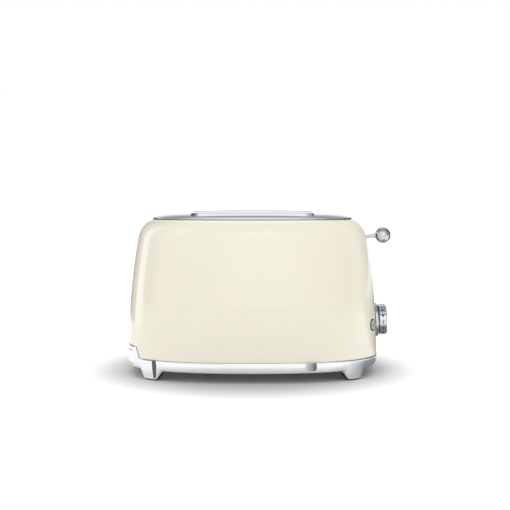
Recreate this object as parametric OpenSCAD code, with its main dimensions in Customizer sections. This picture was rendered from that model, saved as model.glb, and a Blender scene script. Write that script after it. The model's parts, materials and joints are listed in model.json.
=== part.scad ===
// Pop-up toaster with two long slots, a domed steel body and a plated base on four legs.
// Millimetres. X runs along the slots with the lever and the dial at +X, Y to the back, Z up.
// The origin lies on the worktop, midway between the four feet.

/* [Body] */
// Length of the body at its seam with the base
body_length = 308.8; // [296:0.2:322]
// Depth of the body at its seam with the base
body_depth = 193.8; // [186:0.2:202]
// Height of the seam between the body and the base
seam_height = 25.1; // [24:0.1:27]
// Height of the rim that holds the top plate, at the two ends
rim_height = 191.2; // [188:0.1:198]
// How much higher the rim stands at the middle of the long sides
rim_arch = 1.6; // [0:0.1:3]
// Thickness of the body's steel sheet
body_wall = 1; // [0.6:0.1:1.4]
// How far each end leans in between the seam and its shoulder
end_lean = 12.3; // [8:0.1:15]
// How far the front and back lean in over the same height
side_lean = 10; // [6:0.1:13]
// Height of the round shoulder at the ends
end_shoulder_height = 28; // [24:0.5:32]
// Reach of the round shoulder at the ends
end_shoulder_run = 23.7; // [20:0.1:27]
// Height of the round shoulder along the long sides
side_shoulder_height = 20; // [17:0.5:24]
// Reach of the round shoulder along the long sides
side_shoulder_run = 38; // [34:0.1:42]
// Roundness of the outline towards its ends, 2 is an ellipse
length_power = 2.31; // [2.1:0.01:2.6]
// Roundness of the outline towards its long sides
depth_power = 3.15; // [2.8:0.01:3.5]

/* [Top plate] */
// Thickness of the steel top plate
plate_thickness = 1; // [0.8:0.1:1.4]
// Width of the gap between the top plate and the body's rim
plate_gap = 0.5; // [0.3:0.1:0.9]
// Height of the plate's middle above the body's rim at the ends
plate_rise = 7.3; // [6:0.1:9]
// How far the plate falls off towards its edge
plate_crown = 4.5; // [3:0.1:6]
// Width of the ledge that carries the plate
ledge_width = 5; // [4:0.5:7]
// Depth of the ledge below the body's rim
ledge_depth = 3.2; // [2.6:0.1:4]
// Length of each bread slot
slot_length = 148; // [140:1:152]
// Width of each bread slot
slot_width = 36; // [32:0.5:37]
// Distance between the middles of the two slots
slot_spacing = 58; // [56:0.5:60]
// Corner radius of the bread slots
slot_corner = 9; // [6:0.5:12]
// Depth of the flange turned down round each slot
slot_flange = 8; // [6:0.5:9]

/* [Base] */
// How far the plated base stands proud of the body
base_proud = 0.6; // [0.3:0.1:1]
// Wall of the plated base
base_wall = 2.4; // [2:0.1:3]
// Height of the base's lower edge above the worktop
base_bottom = 11.6; // [10.6:0.1:12.4]
// Height of the lip that reaches up inside the body
lip_height = 6; // [4:0.5:8]
// Height of the raised panel at the left end
hump_height = 38.5; // [36:0.5:42]
// Half width of the raised panel where its flank begins
hump_half_width = 54.5; // [53:0.5:57]
// Width of the curved flank of the raised panel
hump_flank = 9; // [7:0.5:11]
// Distance of each leg from the middle along X, measured on the outline
leg_x = 126; // [114:0.5:130]
// Width of a leg at its bottom
leg_width = 20; // [16:0.5:24]
// Width of a leg where it joins the base
leg_top_width = 40; // [34:0.5:44]
// Thickness of a leg's plated face
leg_wall = 1.4; // [1:0.1:2]
// Depth of the rubber foot behind that face
foot_depth = 9; // [7:0.5:12]
// How far the rubber feet reach below the plated legs
foot_reach = 1.6; // [1:0.1:2.4]
// Thickness of the steel floor of the housing
floor_thickness = 1; // [0.8:0.1:1.5]
// Height of the underside of that floor
floor_height = 14; // [13.6:0.1:14.6]
// Radius of the screws that hold the housing together
screw_radius = 1.5; // [1.2:0.1:1.8]

/* [Crumb tray] */
// Width of the crumb tray
tray_width = 98; // [94:1:100]
// Thickness of the tray's sheet
tray_sheet = 0.8; // [0.5:0.1:1]
// Height of the tray's rim above its floor
tray_rim = 5; // [4:0.5:6]
// Height of the tray's front panel
tray_front_height = 16.5; // [15:0.5:18]
// Clearance round the tray and its front
tray_gap = 0.5; // [0.4:0.1:0.8]

/* [Toasting chamber] */
// Length of the chamber between its end plates
chamber_length = 160; // [156:1:164]
// Width of the chamber's end plates
chamber_width = 124; // [120:1:126]
// Height of the top of the end plates
chamber_top = 186; // [180:0.5:187]
// Thickness of the chamber's sheets
chamber_sheet = 1; // [0.8:0.1:1.2]
// Distance from a slot's middle to the heater board on either side
board_offset = 24; // [23:0.5:25]
// Thickness of a mica heater board
board_thickness = 0.8; // [0.5:0.1:1]
// Number of heating ribbon turns round one board
ribbon_turns = 12; // [8:1:16]
// Height of the heating ribbon
ribbon_width = 1.6; // [1:0.1:2.4]
// Thickness of the heating ribbon
ribbon_thickness = 0.35; // [0.2:0.05:0.5]
// Radius of the wires of the bread guides
guide_wire = 0.9; // [0.7:0.1:1.1]
// Distance from a slot's middle to a bread guide
guide_offset = 19.5; // [19:0.1:20]
// Number of upright wires in one bread guide
guide_uprights = 8; // [5:1:10]

/* [Carriage] */
// Height of the top of the bread rests when they are up
rest_height = 106; // [104:0.5:110]
// Travel of the carriage and its lever
carriage_travel = 62; // [50:1:63]
// Radius of the carriage's guide rod
rod_radius = 3; // [2.5:0.1:3.5]
// Radial running clearance of the bush on the rod
rod_clearance = 0.06; // [0.02:0.01:0.1]
// Distance of the guide rod from the chamber's end plate
rod_distance = 19; // [17:0.5:21]
// Distance of the rod and the spring from the middle along Y
rod_side = 18; // [17:0.5:20]
// Number of turns of the return spring
spring_turns = 16; // [10:1:20]
// Radius of the spring's wire
spring_wire = 0.5; // [0.4:0.05:0.6]
// Mean radius of the spring's coil
spring_radius = 3.4; // [2.8:0.1:3.8]

/* [Lever] */
// Radius of the ball on the lever
ball_radius = 9.8; // [8:0.1:11]
// Height of the middle of the ball when the lever is up
ball_height = 170; // [167:0.5:171]
// Distance of the ball's middle from the body's wall
ball_reach = 22; // [18:0.5:26]
// Radius of the lever's stem
stem_radius = 2; // [1.6:0.1:2.4]
// Upward tilt of the stem
stem_tilt = 5; // [2:0.5:6]
// Width of the lever's slot between the lips of its trim
lever_slot = 6.6; // [6:0.2:8]
// Width of the trim's lips
trim_lip = 1.8; // [1.4:0.1:2.4]

/* [Dial and buttons] */
// Height of the dial's middle
dial_height = 63.3; // [60:0.1:66]
// Radius of the dial
dial_radius = 19; // [17:0.1:20]
// Depth of the dial over its grip
dial_depth = 11.9; // [10:0.1:13]
// Width of the dial's raised grip
grip_width = 10.4; // [8:0.1:12]
// Angle of the grip from level
grip_angle = 139; // [90:1:180]
// Radius of the dial's bezel
bezel_radius = 21.25; // [20.6:0.05:22.5]
// Thickness of the dial's bezel
bezel_thickness = 3.8; // [3:0.1:4.4]
// Radius of the dial's shaft
shaft_radius = 3; // [2.5:0.1:3.5]
// Radial running clearance of the dial's shaft
shaft_clearance = 0.06; // [0.02:0.01:0.1]
// Distance of each button from the middle along Y
button_side = 45; // [42:0.5:48]
// Radius of the ring round a button
button_ring = 7.65; // [7:0.05:8.2]
// Radius of a button's cap
button_radius = 5.9; // [5.2:0.1:6]
// Travel of a button
button_travel = 1.2; // [0.8:0.1:1.4]
// Clearance between a button and its ring
button_gap = 0.3; // [0.25:0.05:0.4]
// Depth of the switches behind the body's face
switch_depth = 22; // [20:0.5:23]

/* [Hidden] */
$fn = 48;
around = 18;
side_levels = 7;
shoulder_levels = 9;
shoulder_power = 2.5;
crest_rise = 1.8;
arch_power = 4;
crown_power = 6.5;
// How far inside the carrying sheet's face a shelf starts
slice = 0.01;
// Clearance between pieces that sit next to each other
touch = 0.3;
// Radial clearance of what is pressed or screwed in
pressed = 0.02;
// Length of a cutter that goes right through a sheet
through = 30;
crest_height = rim_height + crest_rise;
end_shoulder_z = crest_height - end_shoulder_height;
side_shoulder_z = crest_height - side_shoulder_height;
lean_span = end_shoulder_z - seam_height;
rim_turn = asin(pow(1 - crest_rise / end_shoulder_height, shoulder_power / 2));
slot_side = slot_spacing / 2;
floor_top = floor_height + floor_thickness;
end_x = chamber_length / 2;
plate_top = rim_height + plate_rise;
board_sides = [-slot_side - board_offset, -slot_side + board_offset,
    slot_side - board_offset, slot_side + board_offset];
// Heater boards, and the bread guides in front of them
board_bottom = floor_top + 19;
board_top = chamber_top - 5;
board_tab = 9;
guide_bottom = board_bottom + 10;
guide_top = board_top - 5;
// Reflectors and the divider reach past the boards, up and down
reflector_gap = 4;
reflector_sheet = 0.6;
reflector_lip = 4;
divider_sheet = 0.8;
shield_margin = 4;
shield_height = board_top - board_bottom + 2 * shield_margin;
// The tray runs on the rails' lower lips
tray_bottom = floor_top + 1.5;
tray_front_depth = 14;
rail_sheet = 1.2;
// Tabs that screw the chamber's end plates to the floor
tab_length = 11;
tab_width = 10;
tab_gap = 1.3;
tab_sheet = 1;
// The guide rod and the spring stand between the floor and a shelf on the right end plate
rod_x = end_x + chamber_sheet + rod_distance;
shelf_bottom = chamber_top - 4;
shelf_sheet = 1.6;
shelf_margin = 8;
carriage_x = end_x + chamber_sheet + 3;
carriage_sheet = 1.5;
rest_spine = 9;
carriage_bottom = rest_height - rest_spine + 1;
bush_radius = rod_radius + 3;
bush_bottom = carriage_bottom + 16;
bush_length = 24;
lug_height = carriage_bottom + 8;
armature_half = 12;
armature_height = 4;
magnet_x = rod_x - 1;
magnet_half_x = 8;
// The control board stands behind the dial, on a bracket that also holds the switches
board_x = 128.8;
board_sheet = 1.6;
board_width = 44;
board_height = 52;
board_drop = 30;
bracket_sheet = 2;

// The body's outline. Each level is |x / a| ^ length_power + |y / b| ^ depth_power = 1.

// How far a rounded shoulder has turned in at a height above its start
function shoulder_drop(h, height, run) =
    let (u = min(max(h, 0) / height, 1))
    run * (1 - pow(1 - pow(u, shoulder_power), 1 / shoulder_power));
function lean(z, amount) = amount * pow((z - seam_height) / lean_span, 2);
function half_length(z) = body_length / 2 - lean(z, end_lean)
    - shoulder_drop(z - end_shoulder_z, end_shoulder_height, end_shoulder_run);
function half_depth(z) = body_depth / 2 - lean(z, side_lean)
    - shoulder_drop(z - side_shoulder_z, side_shoulder_height, side_shoulder_run);
// X of the body's face at a place across the end
function face_x(y, z) = half_length(z)
    * pow(1 - pow(abs(y) / half_depth(z), depth_power), 1 / length_power);
// Angle of the face's normal from X, in plan and upwards
function face_turn(y, z) = atan2(
    depth_power / half_depth(z) * pow(abs(y) / half_depth(z), depth_power - 1),
    length_power / half_length(z) * pow(face_x(y, z) / half_length(z), length_power - 1));
function face_tilt(z) = atan(half_length(z - 1) - half_length(z));
// Turns even steps of one quarter into angles that space the outline's points evenly
function quarter_angle(s) = 90 * pow(s, 1.57) / (pow(s, 1.57) + pow(1 - s, 1.15));
function outline_angle(i) = let (q = floor(i / around), s = i / around - q)
    q % 2 == 0 ? 90 * q + quarter_angle(s) : 90 * (q + 1) - quarter_angle(1 - s);
function outline_point(a, b, t) = [
    a * sign(cos(t)) * pow(abs(cos(t)), 2 / length_power),
    b * sign(sin(t)) * pow(abs(sin(t)), 2 / depth_power)];
function outline(a, b) = [for (i = [0:4 * around - 1]) outline_point(a, b, outline_angle(i))];
function raised(points, z) = [for (p = points) [p[0], p[1], z]];

// Level i of the body: its height and how far up the shoulder it lies, from 0 to 1
function level_share(i) = max(0, (i - side_levels) / shoulder_levels);
function level_z(i) = i <= side_levels
    ? seam_height + lean_span * i / side_levels
    : end_shoulder_z + end_shoulder_height * pow(sin(rim_turn * level_share(i)), 2 / shoulder_power);
function arch(x, a) = rim_arch * (1 - pow(min(abs(x) / a, 1), arch_power));
function body_ring(i, inset) = let (z = level_z(i), s = level_share(i),
        a = half_length(z), b = half_depth(z))
    [for (p = outline(a - inset, b - inset)) [p[0], p[1], z + arch(p[0], a) * s * s - inset * s]];
rim_a = half_length(rim_height);
rim_b = half_depth(rim_height);
// A ring of the rim's outline, moved in and down from the rim
function rim_ring(inset, down) = [for (p = outline(rim_a - inset, rim_b - inset))
    [p[0], p[1], rim_height + arch(p[0], rim_a) - down]];

// Skins a stack of rings. A looped stack closes on itself, as a wall does.
module skin(rings, looped = false) {
    n = len(rings[0]);
    m = len(rings);
    middle = function(ring) [for (k = [0:2]) (ring[0][k] + ring[n / 2][k]) / 2];
    points = concat([for (r = rings) each r], [middle(rings[0]), middle(rings[m - 1])]);
    walls = [for (i = [0:(looped ? m - 1 : m - 2)], j = [0:n - 1])
        let (k = (j + 1) % n, up = (i + 1) % m)
        each [[i * n + j, up * n + j, up * n + k], [i * n + j, up * n + k, i * n + k]]];
    caps = looped ? [] : [for (j = [0:n - 1]) let (k = (j + 1) % n)
        each [[m * n, j, k], [m * n + 1, (m - 1) * n + k, (m - 1) * n + j]]];
    polyhedron(looped ? [for (r = rings) each r] : points, concat(walls, caps), convexity = 8);
}

// The filled shape of the base and the lowest part of the body, as high as the left panel
module body_core(inset) {
    skin([for (z = [base_bottom : 4 : hump_height + 6])
        raised(outline(half_length(z) - inset, half_depth(z) - inset), z)]);
}
// The filled shape of the whole body
module body_block(inset) {
    skin([for (i = [0:side_levels + shoulder_levels - 1]) body_ring(i, inset)]);
}
// The raised panel's outline at the left end, from the floor of the base up
module panel_prism(gap) {
    steps = 8;
    flank = [for (i = [0:steps]) [hump_half_width + hump_flank * i / steps + gap,
        seam_height + (hump_height - seam_height) * (1 + cos(180 * i / steps)) / 2 + gap]];
    low = seam_height - 1;
    half = hump_half_width + hump_flank + gap;
    rotate([90, 0, -90]) linear_extrude(body_length)
        polygon(concat([[-half, low], [half, low]], [for (i = [steps:-1:0]) flank[i]],
            [for (p = flank) [-p[0], p[1]]]));
}
// A stadium that stands along Z and runs out along X
module lever_prism(width, low, high, from, to) {
    translate([from, 0, 0]) rotate([90, 0, 90]) linear_extrude(to - from) {
        translate([-width / 2, low + width / 2]) square([width, high - low - width]);
        translate([0, low + width / 2]) circle(width / 2);
        translate([0, high - width / 2]) circle(width / 2);
    }
}
// Puts its children on the right-hand face of the body, with Z along the face's normal
module on_face(y, z) {
    translate([face_x(y, z), y, z])
        rotate([0, 90 - face_tilt(z), sign(y) * face_turn(y, z)]) children();
}

ball_x = half_length(ball_height) + ball_reach;
slot_high = ball_height - ball_reach * tan(stem_tilt) + lever_slot / 2 + 3;
slot_low = slot_high - carriage_travel - lever_slot - 6;
trim_width = lever_slot + 2 * trim_lip;
bezel_boss = 7.8;
button_sleeve = button_radius + button_gap + 0.7;

module body_shell() {
    last = side_levels + shoulder_levels;
    lip = 0.8;
    color([0.93, 0.9, 0.82]) difference() {
        skin(concat(
            [for (i = [0:last]) body_ring(i, 0)],
            [rim_ring(lip, 0), rim_ring(lip, ledge_depth), rim_ring(lip + ledge_width, ledge_depth),
                rim_ring(lip + ledge_width, ledge_depth + body_wall)],
            [for (i = [last - 3:-1:0]) body_ring(i, body_wall)]), looped = true);
        panel_prism(touch);
        lever_prism(trim_width + touch, slot_low - trim_lip - touch / 2,
            slot_high + trim_lip + touch / 2, board_x, body_length);
        on_face(0, dial_height) cylinder(h = through, r = bezel_boss + touch, center = true);
        for (y = [-button_side, button_side])
            on_face(y, dial_height)
                cylinder(h = through, r = button_sleeve + touch / 2, center = true);
    }
}

// The plate's upper face: flat in the middle, falling away towards the rim
function plate_point(share, inset, down) = [
    for (p = outline((rim_a - inset) * share, (rim_b - inset) * share))
    [p[0], p[1], plate_top - plate_crown * pow(share, crown_power)
        - (rim_arch + 0.6) * pow(abs(p[0]) / rim_a, arch_power) - down]];
plate_shares = [0.25, 0.45, 0.6, 0.72, 0.82, 0.9, 0.96, 0.985];
plate_inset = 0.8 + plate_gap;
module plate_block(inset, down, drop) {
    skin(concat(
        [plate_point(1, inset, drop), plate_point(1, inset, down + 0.9)],
        [for (i = [len(plate_shares) - 1:-1:0]) plate_point(plate_shares[i], inset,
            down + (i == len(plate_shares) - 1 ? 0.3 : 0))]));
}
module slot_shape(grow) {
    square([slot_length - 2 * slot_corner, slot_width + 2 * grow], center = true);
    square([slot_length + 2 * grow, slot_width - 2 * slot_corner], center = true);
    for (x = [-1, 1], y = [-1, 1])
        translate([x * (slot_length / 2 - slot_corner), y * (slot_width / 2 - slot_corner)])
            circle(slot_corner + grow);
}
module top_plate() {
    inner_inset = plate_inset + plate_thickness;
    color([0.8, 0.81, 0.83]) {
        difference() {
            plate_block(plate_inset, 0, ledge_depth - touch);
            plate_block(inner_inset, plate_thickness, 20);
            for (y = [-slot_side, slot_side])
                translate([0, y, rim_height - 20]) linear_extrude(40) slot_shape(0);
        }
        for (y = [-slot_side, slot_side])
            intersection() {
                plate_block(inner_inset, plate_thickness / 2, 20);
                translate([0, y, plate_top - slot_flange - 2]) linear_extrude(20)
                    difference() {
                        slot_shape(plate_thickness);
                        slot_shape(0);
                    }
            }
    }
}

// Outline of the base, moved in
base_a = body_length / 2 + base_proud;
base_b = body_depth / 2 + base_proud;
module base_outline(inset) {
    polygon(outline(base_a - inset, base_b - inset));
}
function base_ring(inset, z) = raised(outline(base_a - inset, base_b - inset), z);
leg_y = base_b * pow(1 - pow(leg_x / base_a, length_power), 1 / depth_power);
leg_turn = atan2(depth_power / base_b * pow(leg_y / base_b, depth_power - 1),
    length_power / base_a * pow(leg_x / base_a, length_power - 1));
// How far a leg's face leans in at the worktop
leg_tuck = 2.4;
lip_inset = base_proud + body_wall + touch;
lip_wall = 1.5;
floor_inset = lip_inset + lip_wall + 2.8;
tray_front_width = tray_width + 3;
shank_radius = screw_radius - 0.1;
boss_x = 60;
boss_y = half_depth(seam_height) - 17;

// The four legs' outline, seen along a leg's normal: two S-shaped flanks down to a flat bottom
module leg_prisms(width, top_width, bottom) {
    steps = 8;
    top = base_bottom + 1;
    flank = [for (i = [0:steps]) let (s = i / steps)
        [(width + (top_width - width) * (1 - cos(180 * s)) / 2) / 2, bottom + (top - bottom) * s]];
    for (x = [-1, 1], y = [-1, 1])
        corner(x, y) translate([leg_x, leg_y]) rotate(leg_turn) translate([-2 * foot_depth, 0, 0])
            rotate([90, 0, 90]) linear_extrude(3 * foot_depth)
                polygon(concat(flank, [[top_width / 2, seam_height - 4], [-top_width / 2, seam_height - 4]],
                    [for (i = [steps:-1:0]) [-flank[i][0], flank[i][1]]]));
}
module corner(x, y) {
    mirror([x < 0 ? 1 : 0, 0, 0]) mirror([0, y < 0 ? 1 : 0, 0]) children();
}
module base_skirt() {
    boss_height = seam_height - floor_top;
    color([0.85, 0.86, 0.88]) difference() {
        union() {
            skin([base_ring(7, base_bottom), base_ring(3.2, base_bottom + 1),
                base_ring(1.2, base_bottom + 3.4), base_ring(0.3, base_bottom + 6.9),
                base_ring(0, seam_height), base_ring(lip_inset, seam_height),
                base_ring(lip_inset, seam_height + lip_height),
                base_ring(lip_inset + lip_wall, seam_height + lip_height),
                base_ring(lip_inset + lip_wall, seam_height - 4),
                base_ring(base_wall + 2.2, base_bottom + 6.4),
                base_ring(base_wall + 3.4, base_bottom + 2.6),
                base_ring(9.4, base_bottom + 0.6)], looped = true);
            intersection() {
                difference() {
                    body_core(-base_proud);
                    body_core(lip_inset + lip_wall - base_proud);
                }
                panel_prism(0);
            }
            intersection() {
                skin([base_ring(leg_tuck, 0), base_ring(leg_tuck / 2, base_bottom),
                    base_ring(leg_tuck / 3, seam_height - 4),
                    base_ring(leg_tuck / 3 + base_wall, seam_height - 4),
                    base_ring(leg_tuck / 2 + leg_wall, base_bottom),
                    base_ring(leg_tuck + leg_wall, 0)], looped = true);
                leg_prisms(leg_width, leg_top_width, foot_reach);
            }
            for (x = [-1, 1], y = [-1, 1]) {
                corner(x, y) translate([boss_x, boss_y, floor_top])
                    cylinder(h = boss_height, r = screw_radius + 3);
                corner(x, y) translate([boss_x - 2, boss_y + screw_radius + 1, floor_top])
                    cube([4, 9, boss_height]);
            }
        }
        for (x = [-boss_x, boss_x], y = [-boss_y, boss_y])
            translate([x, y, floor_top - 1]) cylinder(h = 9, r = shank_radius + pressed);
        translate([-body_length, -tray_front_width / 2 - tray_gap, tray_bottom - tray_gap])
            cube([body_length / 2 + 60, tray_front_width + 2 * tray_gap,
                tray_front_height + 2 * tray_gap]);
    }
}
// One foot, behind its leg's plated face and up to the base's lower edge
module foot(x, y) {
    front = leg_tuck + leg_wall + pressed;
    color([0.12, 0.12, 0.12]) intersection() {
        linear_extrude(base_bottom - pressed) difference() {
            base_outline(front);
            base_outline(front + foot_depth);
        }
        leg_prisms(leg_width - 1, leg_top_width - 6, 0);
        corner(x, y) cube([body_length, body_depth, seam_height]);
    }
}

gland_place = [-78, half_depth(seam_height) - 28.9];
gland_bore = 3.6;
gland_neck = gland_bore + 2;
function feet_screws() = [for (x = [-1, 1], y = [-1, 1])
    [x * (end_x + chamber_sheet + tab_length / 2 + 0.5),
        y * (tray_width / 2 + tray_gap + rail_sheet + tab_gap + tab_width / 2)]];
module base_plate() {
    color([0.6, 0.61, 0.62]) difference() {
        translate([0, 0, floor_height]) linear_extrude(floor_thickness) base_outline(floor_inset);
        for (p = feet_screws())
            translate([p[0], p[1], 0]) cylinder(h = through, r = screw_radius + touch);
        for (x = [-boss_x, boss_x], y = [-boss_y, boss_y])
            translate([x, y, 0]) cylinder(h = through, r = screw_radius + touch);
        translate([gland_place[0], gland_place[1], 0]) cylinder(h = through, r = gland_neck + pressed);
        for (x = [-1, 1], i = [-4:4])
            translate([x * 40 - 25, i * 9 - 1.5, 0]) cube([50, 3, through]);
    }
}
// A pan-head screw that points up, with its head's underside at the origin
module screw(length) {
    translate([0, 0, -1.8]) cylinder(h = 1.8, r = screw_radius * 2);
    cylinder(h = length, r = shank_radius);
}
module base_screws() {
    color([0.5, 0.5, 0.52]) for (x = [-boss_x, boss_x], y = [-boss_y, boss_y])
        translate([x, y, floor_height]) screw(8);
}
module cord_gland() {
    color([0.15, 0.15, 0.15]) translate([gland_place[0], gland_place[1], floor_height])
        difference() {
            union() {
                translate([0, 0, -3]) cylinder(h = 3, r = gland_neck + 3);
                cylinder(h = 8, r = gland_neck);
            }
            translate([0, 0, -4]) cylinder(h = 14, r = gland_bore);
        }
}
// The terminal block lies midway between the tray and the base's outline
block_size = [22, 13, 12];
block_x = -end_x - 37;
block_outline = half_depth(seam_height)
    * pow(1 - pow(-block_x / half_length(seam_height), length_power), 1 / depth_power);
block_y = (tray_width / 2 + block_outline - block_size[1]) / 2 - 0.2;
module terminal_block() {
    color([0.9, 0.9, 0.86]) translate([block_x, block_y, floor_top]) difference() {
        cube(block_size);
        for (x = [block_size[0] / 4, block_size[0] * 3 / 4]) {
            translate([x, block_size[1] + 1, 5]) rotate([90, 0, 0]) cylinder(h = 8, r = 1.8);
            translate([x, 8, block_size[2] - 4]) cylinder(h = 5, r = 1.6);
        }
    }
}

// The crumb tray runs in from the left end under the whole chamber
tray_front_x = -face_x(0, tray_bottom + 10) - base_proud;
tray_start = tray_front_x + tray_front_depth;
tray_end = end_x - 3;
module tray_front() {
    color([0.85, 0.86, 0.88]) difference() {
        intersection() {
            body_core(-base_proud);
            translate([-body_length, -tray_front_width / 2, tray_bottom])
                cube([body_length + tray_start, tray_front_width, tray_front_height]);
        }
        translate([tray_front_x - 3, 0, tray_bottom + 4]) rotate([90, 0, 0])
            cylinder(h = 44, r = 10, center = true);
    }
}
module crumb_tray() {
    long = tray_end - tray_start;
    color([0.62, 0.63, 0.64]) translate([tray_start, -tray_width / 2, tray_bottom]) {
        cube([long, tray_width, tray_sheet]);
        cube([tray_sheet, tray_width, tray_rim]);
        translate([long - tray_sheet, 0, 0]) cube([tray_sheet, tray_width, tray_rim]);
        for (y = [0, tray_width - tray_sheet])
            translate([0, y, 0]) cube([long, tray_sheet, tray_rim]);
    }
}
module tray_rails() {
    long = tray_end - tray_start - 4;
    side = tray_width / 2 + tray_gap;
    color([0.55, 0.56, 0.57]) for (y = [-1, 1])
        corner(1, y) translate([tray_start + 4, side, floor_top]) {
            cube([long, rail_sheet, tray_bottom - floor_top + tray_rim + tray_gap + rail_sheet]);
            translate([0, -3, tray_bottom - floor_top + tray_rim + tray_gap])
                cube([long, 3 + rail_sheet, rail_sheet]);
            translate([0, -4, 0]) cube([long, 4 + rail_sheet, tray_bottom - floor_top - 0.05]);
        }
}

// Toasting chamber
module chamber_outline() {
    half = chamber_width / 2;
    polygon([[-half, floor_top], [half, floor_top], [half, chamber_top - 12],
        [half - 7, chamber_top], [7 - half, chamber_top], [-half, chamber_top - 12]]);
}
module chamber_end(side) {
    doorway = tray_width / 2 + tray_gap + rail_sheet + touch;
    x = side < 0 ? -end_x - chamber_sheet : end_x;
    pin_hole = guide_wire + 0.06;
    color([0.66, 0.67, 0.68]) difference() {
        union() {
            translate([x, 0, 0]) rotate([90, 0, 90]) linear_extrude(chamber_sheet)
                chamber_outline();
            for (p = feet_screws()) if (p[0] * side > 0)
                translate([side * (end_x + chamber_sheet / 2), p[1] - tab_width / 2, floor_top])
                    mirror([side < 0 ? 1 : 0, 0, 0]) cube([tab_length, tab_width, tab_sheet]);
            if (side > 0) translate([end_x + slice, -rod_side - shelf_margin, shelf_bottom])
                cube([rod_x - end_x + shelf_margin, 2 * (rod_side + shelf_margin), shelf_sheet]);
        }
        translate([x - 1, -doorway, floor_top - 1])
            cube([chamber_sheet + 2, 2 * doorway, tray_bottom + tray_rim + 3 - floor_top]);
        for (y = [-slot_side, slot_side])
            translate([x - 1, y - 2, carriage_bottom - carriage_travel - 3])
                cube([chamber_sheet + 2, 4, carriage_travel + rest_spine + 6]);
        for (y = [-slot_side, slot_side], k = [-guide_offset, guide_offset])
            translate([x - 1, y + k, guide_bottom]) rotate([0, 90, 0])
                cylinder(h = chamber_sheet + 2, r = pin_hole);
        for (p = feet_screws())
            translate([p[0], p[1], 0]) cylinder(h = through, r = screw_radius + touch);
    }
}
module chamber_screws() {
    color([0.5, 0.5, 0.52]) for (p = feet_screws())
        translate([p[0], p[1], floor_top + tab_sheet]) mirror([0, 0, 1]) screw(5);
}
module reflector(side) {
    y = slot_side + board_offset + reflector_gap;
    color([0.75, 0.76, 0.77]) corner(1, side)
        translate([-end_x, y, board_bottom - shield_margin]) {
            cube([chamber_length, reflector_sheet, shield_height]);
            cube([chamber_length, reflector_lip, reflector_sheet]);
            translate([0, 0, shield_height - reflector_sheet])
                cube([chamber_length, reflector_lip, reflector_sheet]);
        }
}
module centre_divider() {
    color([0.75, 0.76, 0.77])
        translate([-end_x, -divider_sheet / 2, board_bottom - shield_margin])
            cube([chamber_length, divider_sheet, shield_height]);
}
ribbon_reach = end_x - 9;
module mica_board(y) {
    color([0.78, 0.7, 0.52]) translate([0, y - board_thickness / 2, 0]) {
        translate([-ribbon_reach, 0, board_bottom])
            cube([2 * ribbon_reach, board_thickness, board_top - board_bottom]);
        for (z = [board_bottom, board_top - board_tab])
            translate([-end_x, 0, z]) cube([chamber_length, board_thickness, board_tab]);
    }
}
module heating_ribbon(y) {
    first = board_bottom + 16;
    step = (board_top - 16 - ribbon_width - first) / (ribbon_turns - 1);
    long = 2 * (ribbon_reach + ribbon_thickness);
    thick = board_thickness + 2 * ribbon_thickness;
    color([0.35, 0.33, 0.32]) for (i = [0:ribbon_turns - 1])
        translate([0, y, first + i * step + ribbon_width / 2]) difference() {
            cube([long, thick, ribbon_width], center = true);
            cube([2 * ribbon_reach, board_thickness, ribbon_width + 1], center = true);
        }
}
// A cage of wires that hangs on its lowest wire
module bread_guide(y) {
    long = chamber_length - 6;
    color([0.7, 0.71, 0.72]) translate([0, y, 0]) {
        translate([-end_x - chamber_sheet - 1, 0, guide_bottom]) rotate([0, 90, 0])
            cylinder(h = chamber_length + 2 * chamber_sheet + 2, r = guide_wire);
        translate([-long / 2, 0, guide_top]) rotate([0, 90, 0])
            cylinder(h = long, r = guide_wire);
        for (i = [0:guide_uprights - 1])
            translate([-long / 2 + 6 + i * (long - 12) / (guide_uprights - 1), 0, guide_bottom])
                cylinder(h = guide_top - guide_bottom, r = guide_wire - 0.15);
    }
}

// Carriage
arm_length = 18;
arm_x = rod_x + arm_length;
arm_width = 10;
arm_depth = 8;
carriage_height = 46;
carriage_margin = 8;
post_width = 14;
bush_wall = 1;
lug_width = 9;
lug_sheet = 1.6;
arm_height = ball_height - (ball_x - arm_x) * tan(stem_tilt);
module carriage_plate() {
    color([0.62, 0.63, 0.65]) difference() {
        union() {
            translate([carriage_x, -slot_side - carriage_margin, carriage_bottom])
                cube([carriage_sheet, slot_spacing + 2 * carriage_margin, carriage_height]);
            translate([carriage_x, -post_width / 2, carriage_bottom])
                cube([carriage_sheet, post_width, arm_height - carriage_bottom + 3]);
            translate([carriage_x, -arm_width / 2, arm_height - 4.5])
                cube([arm_x - carriage_x + 2, arm_width, arm_depth]);
            translate([carriage_x, rod_side - bush_radius - bush_wall, bush_bottom + 3])
                cube([rod_x - carriage_x, 2 * (bush_radius + bush_wall), bush_length - 6]);
            translate([carriage_x, -armature_half, carriage_bottom])
                cube([magnet_x + magnet_half_x - carriage_x, 2 * armature_half, lug_sheet]);
            translate([carriage_x, -rod_side - 5, lug_height])
                cube([rod_x - carriage_x + 4, lug_width, lug_sheet]);
        }
        translate([rod_x, rod_side, bush_bottom - 1])
            cylinder(h = bush_length + 2, r = bush_radius + pressed);
        translate([ball_x, 0, ball_height]) rotate([0, -90 - stem_tilt, 0])
            cylinder(h = ball_x - arm_x + 9, r = stem_radius + pressed);
    }
}
module carriage_bush() {
    color([0.8, 0.65, 0.35]) translate([rod_x, rod_side, bush_bottom]) difference() {
        cylinder(h = bush_length, r = bush_radius);
        translate([0, 0, -1]) cylinder(h = bush_length + 2, r = rod_radius + rod_clearance);
    }
}
rest_sheet = 1.6;
rest_bar = 8;
rest_bars = 12;
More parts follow.
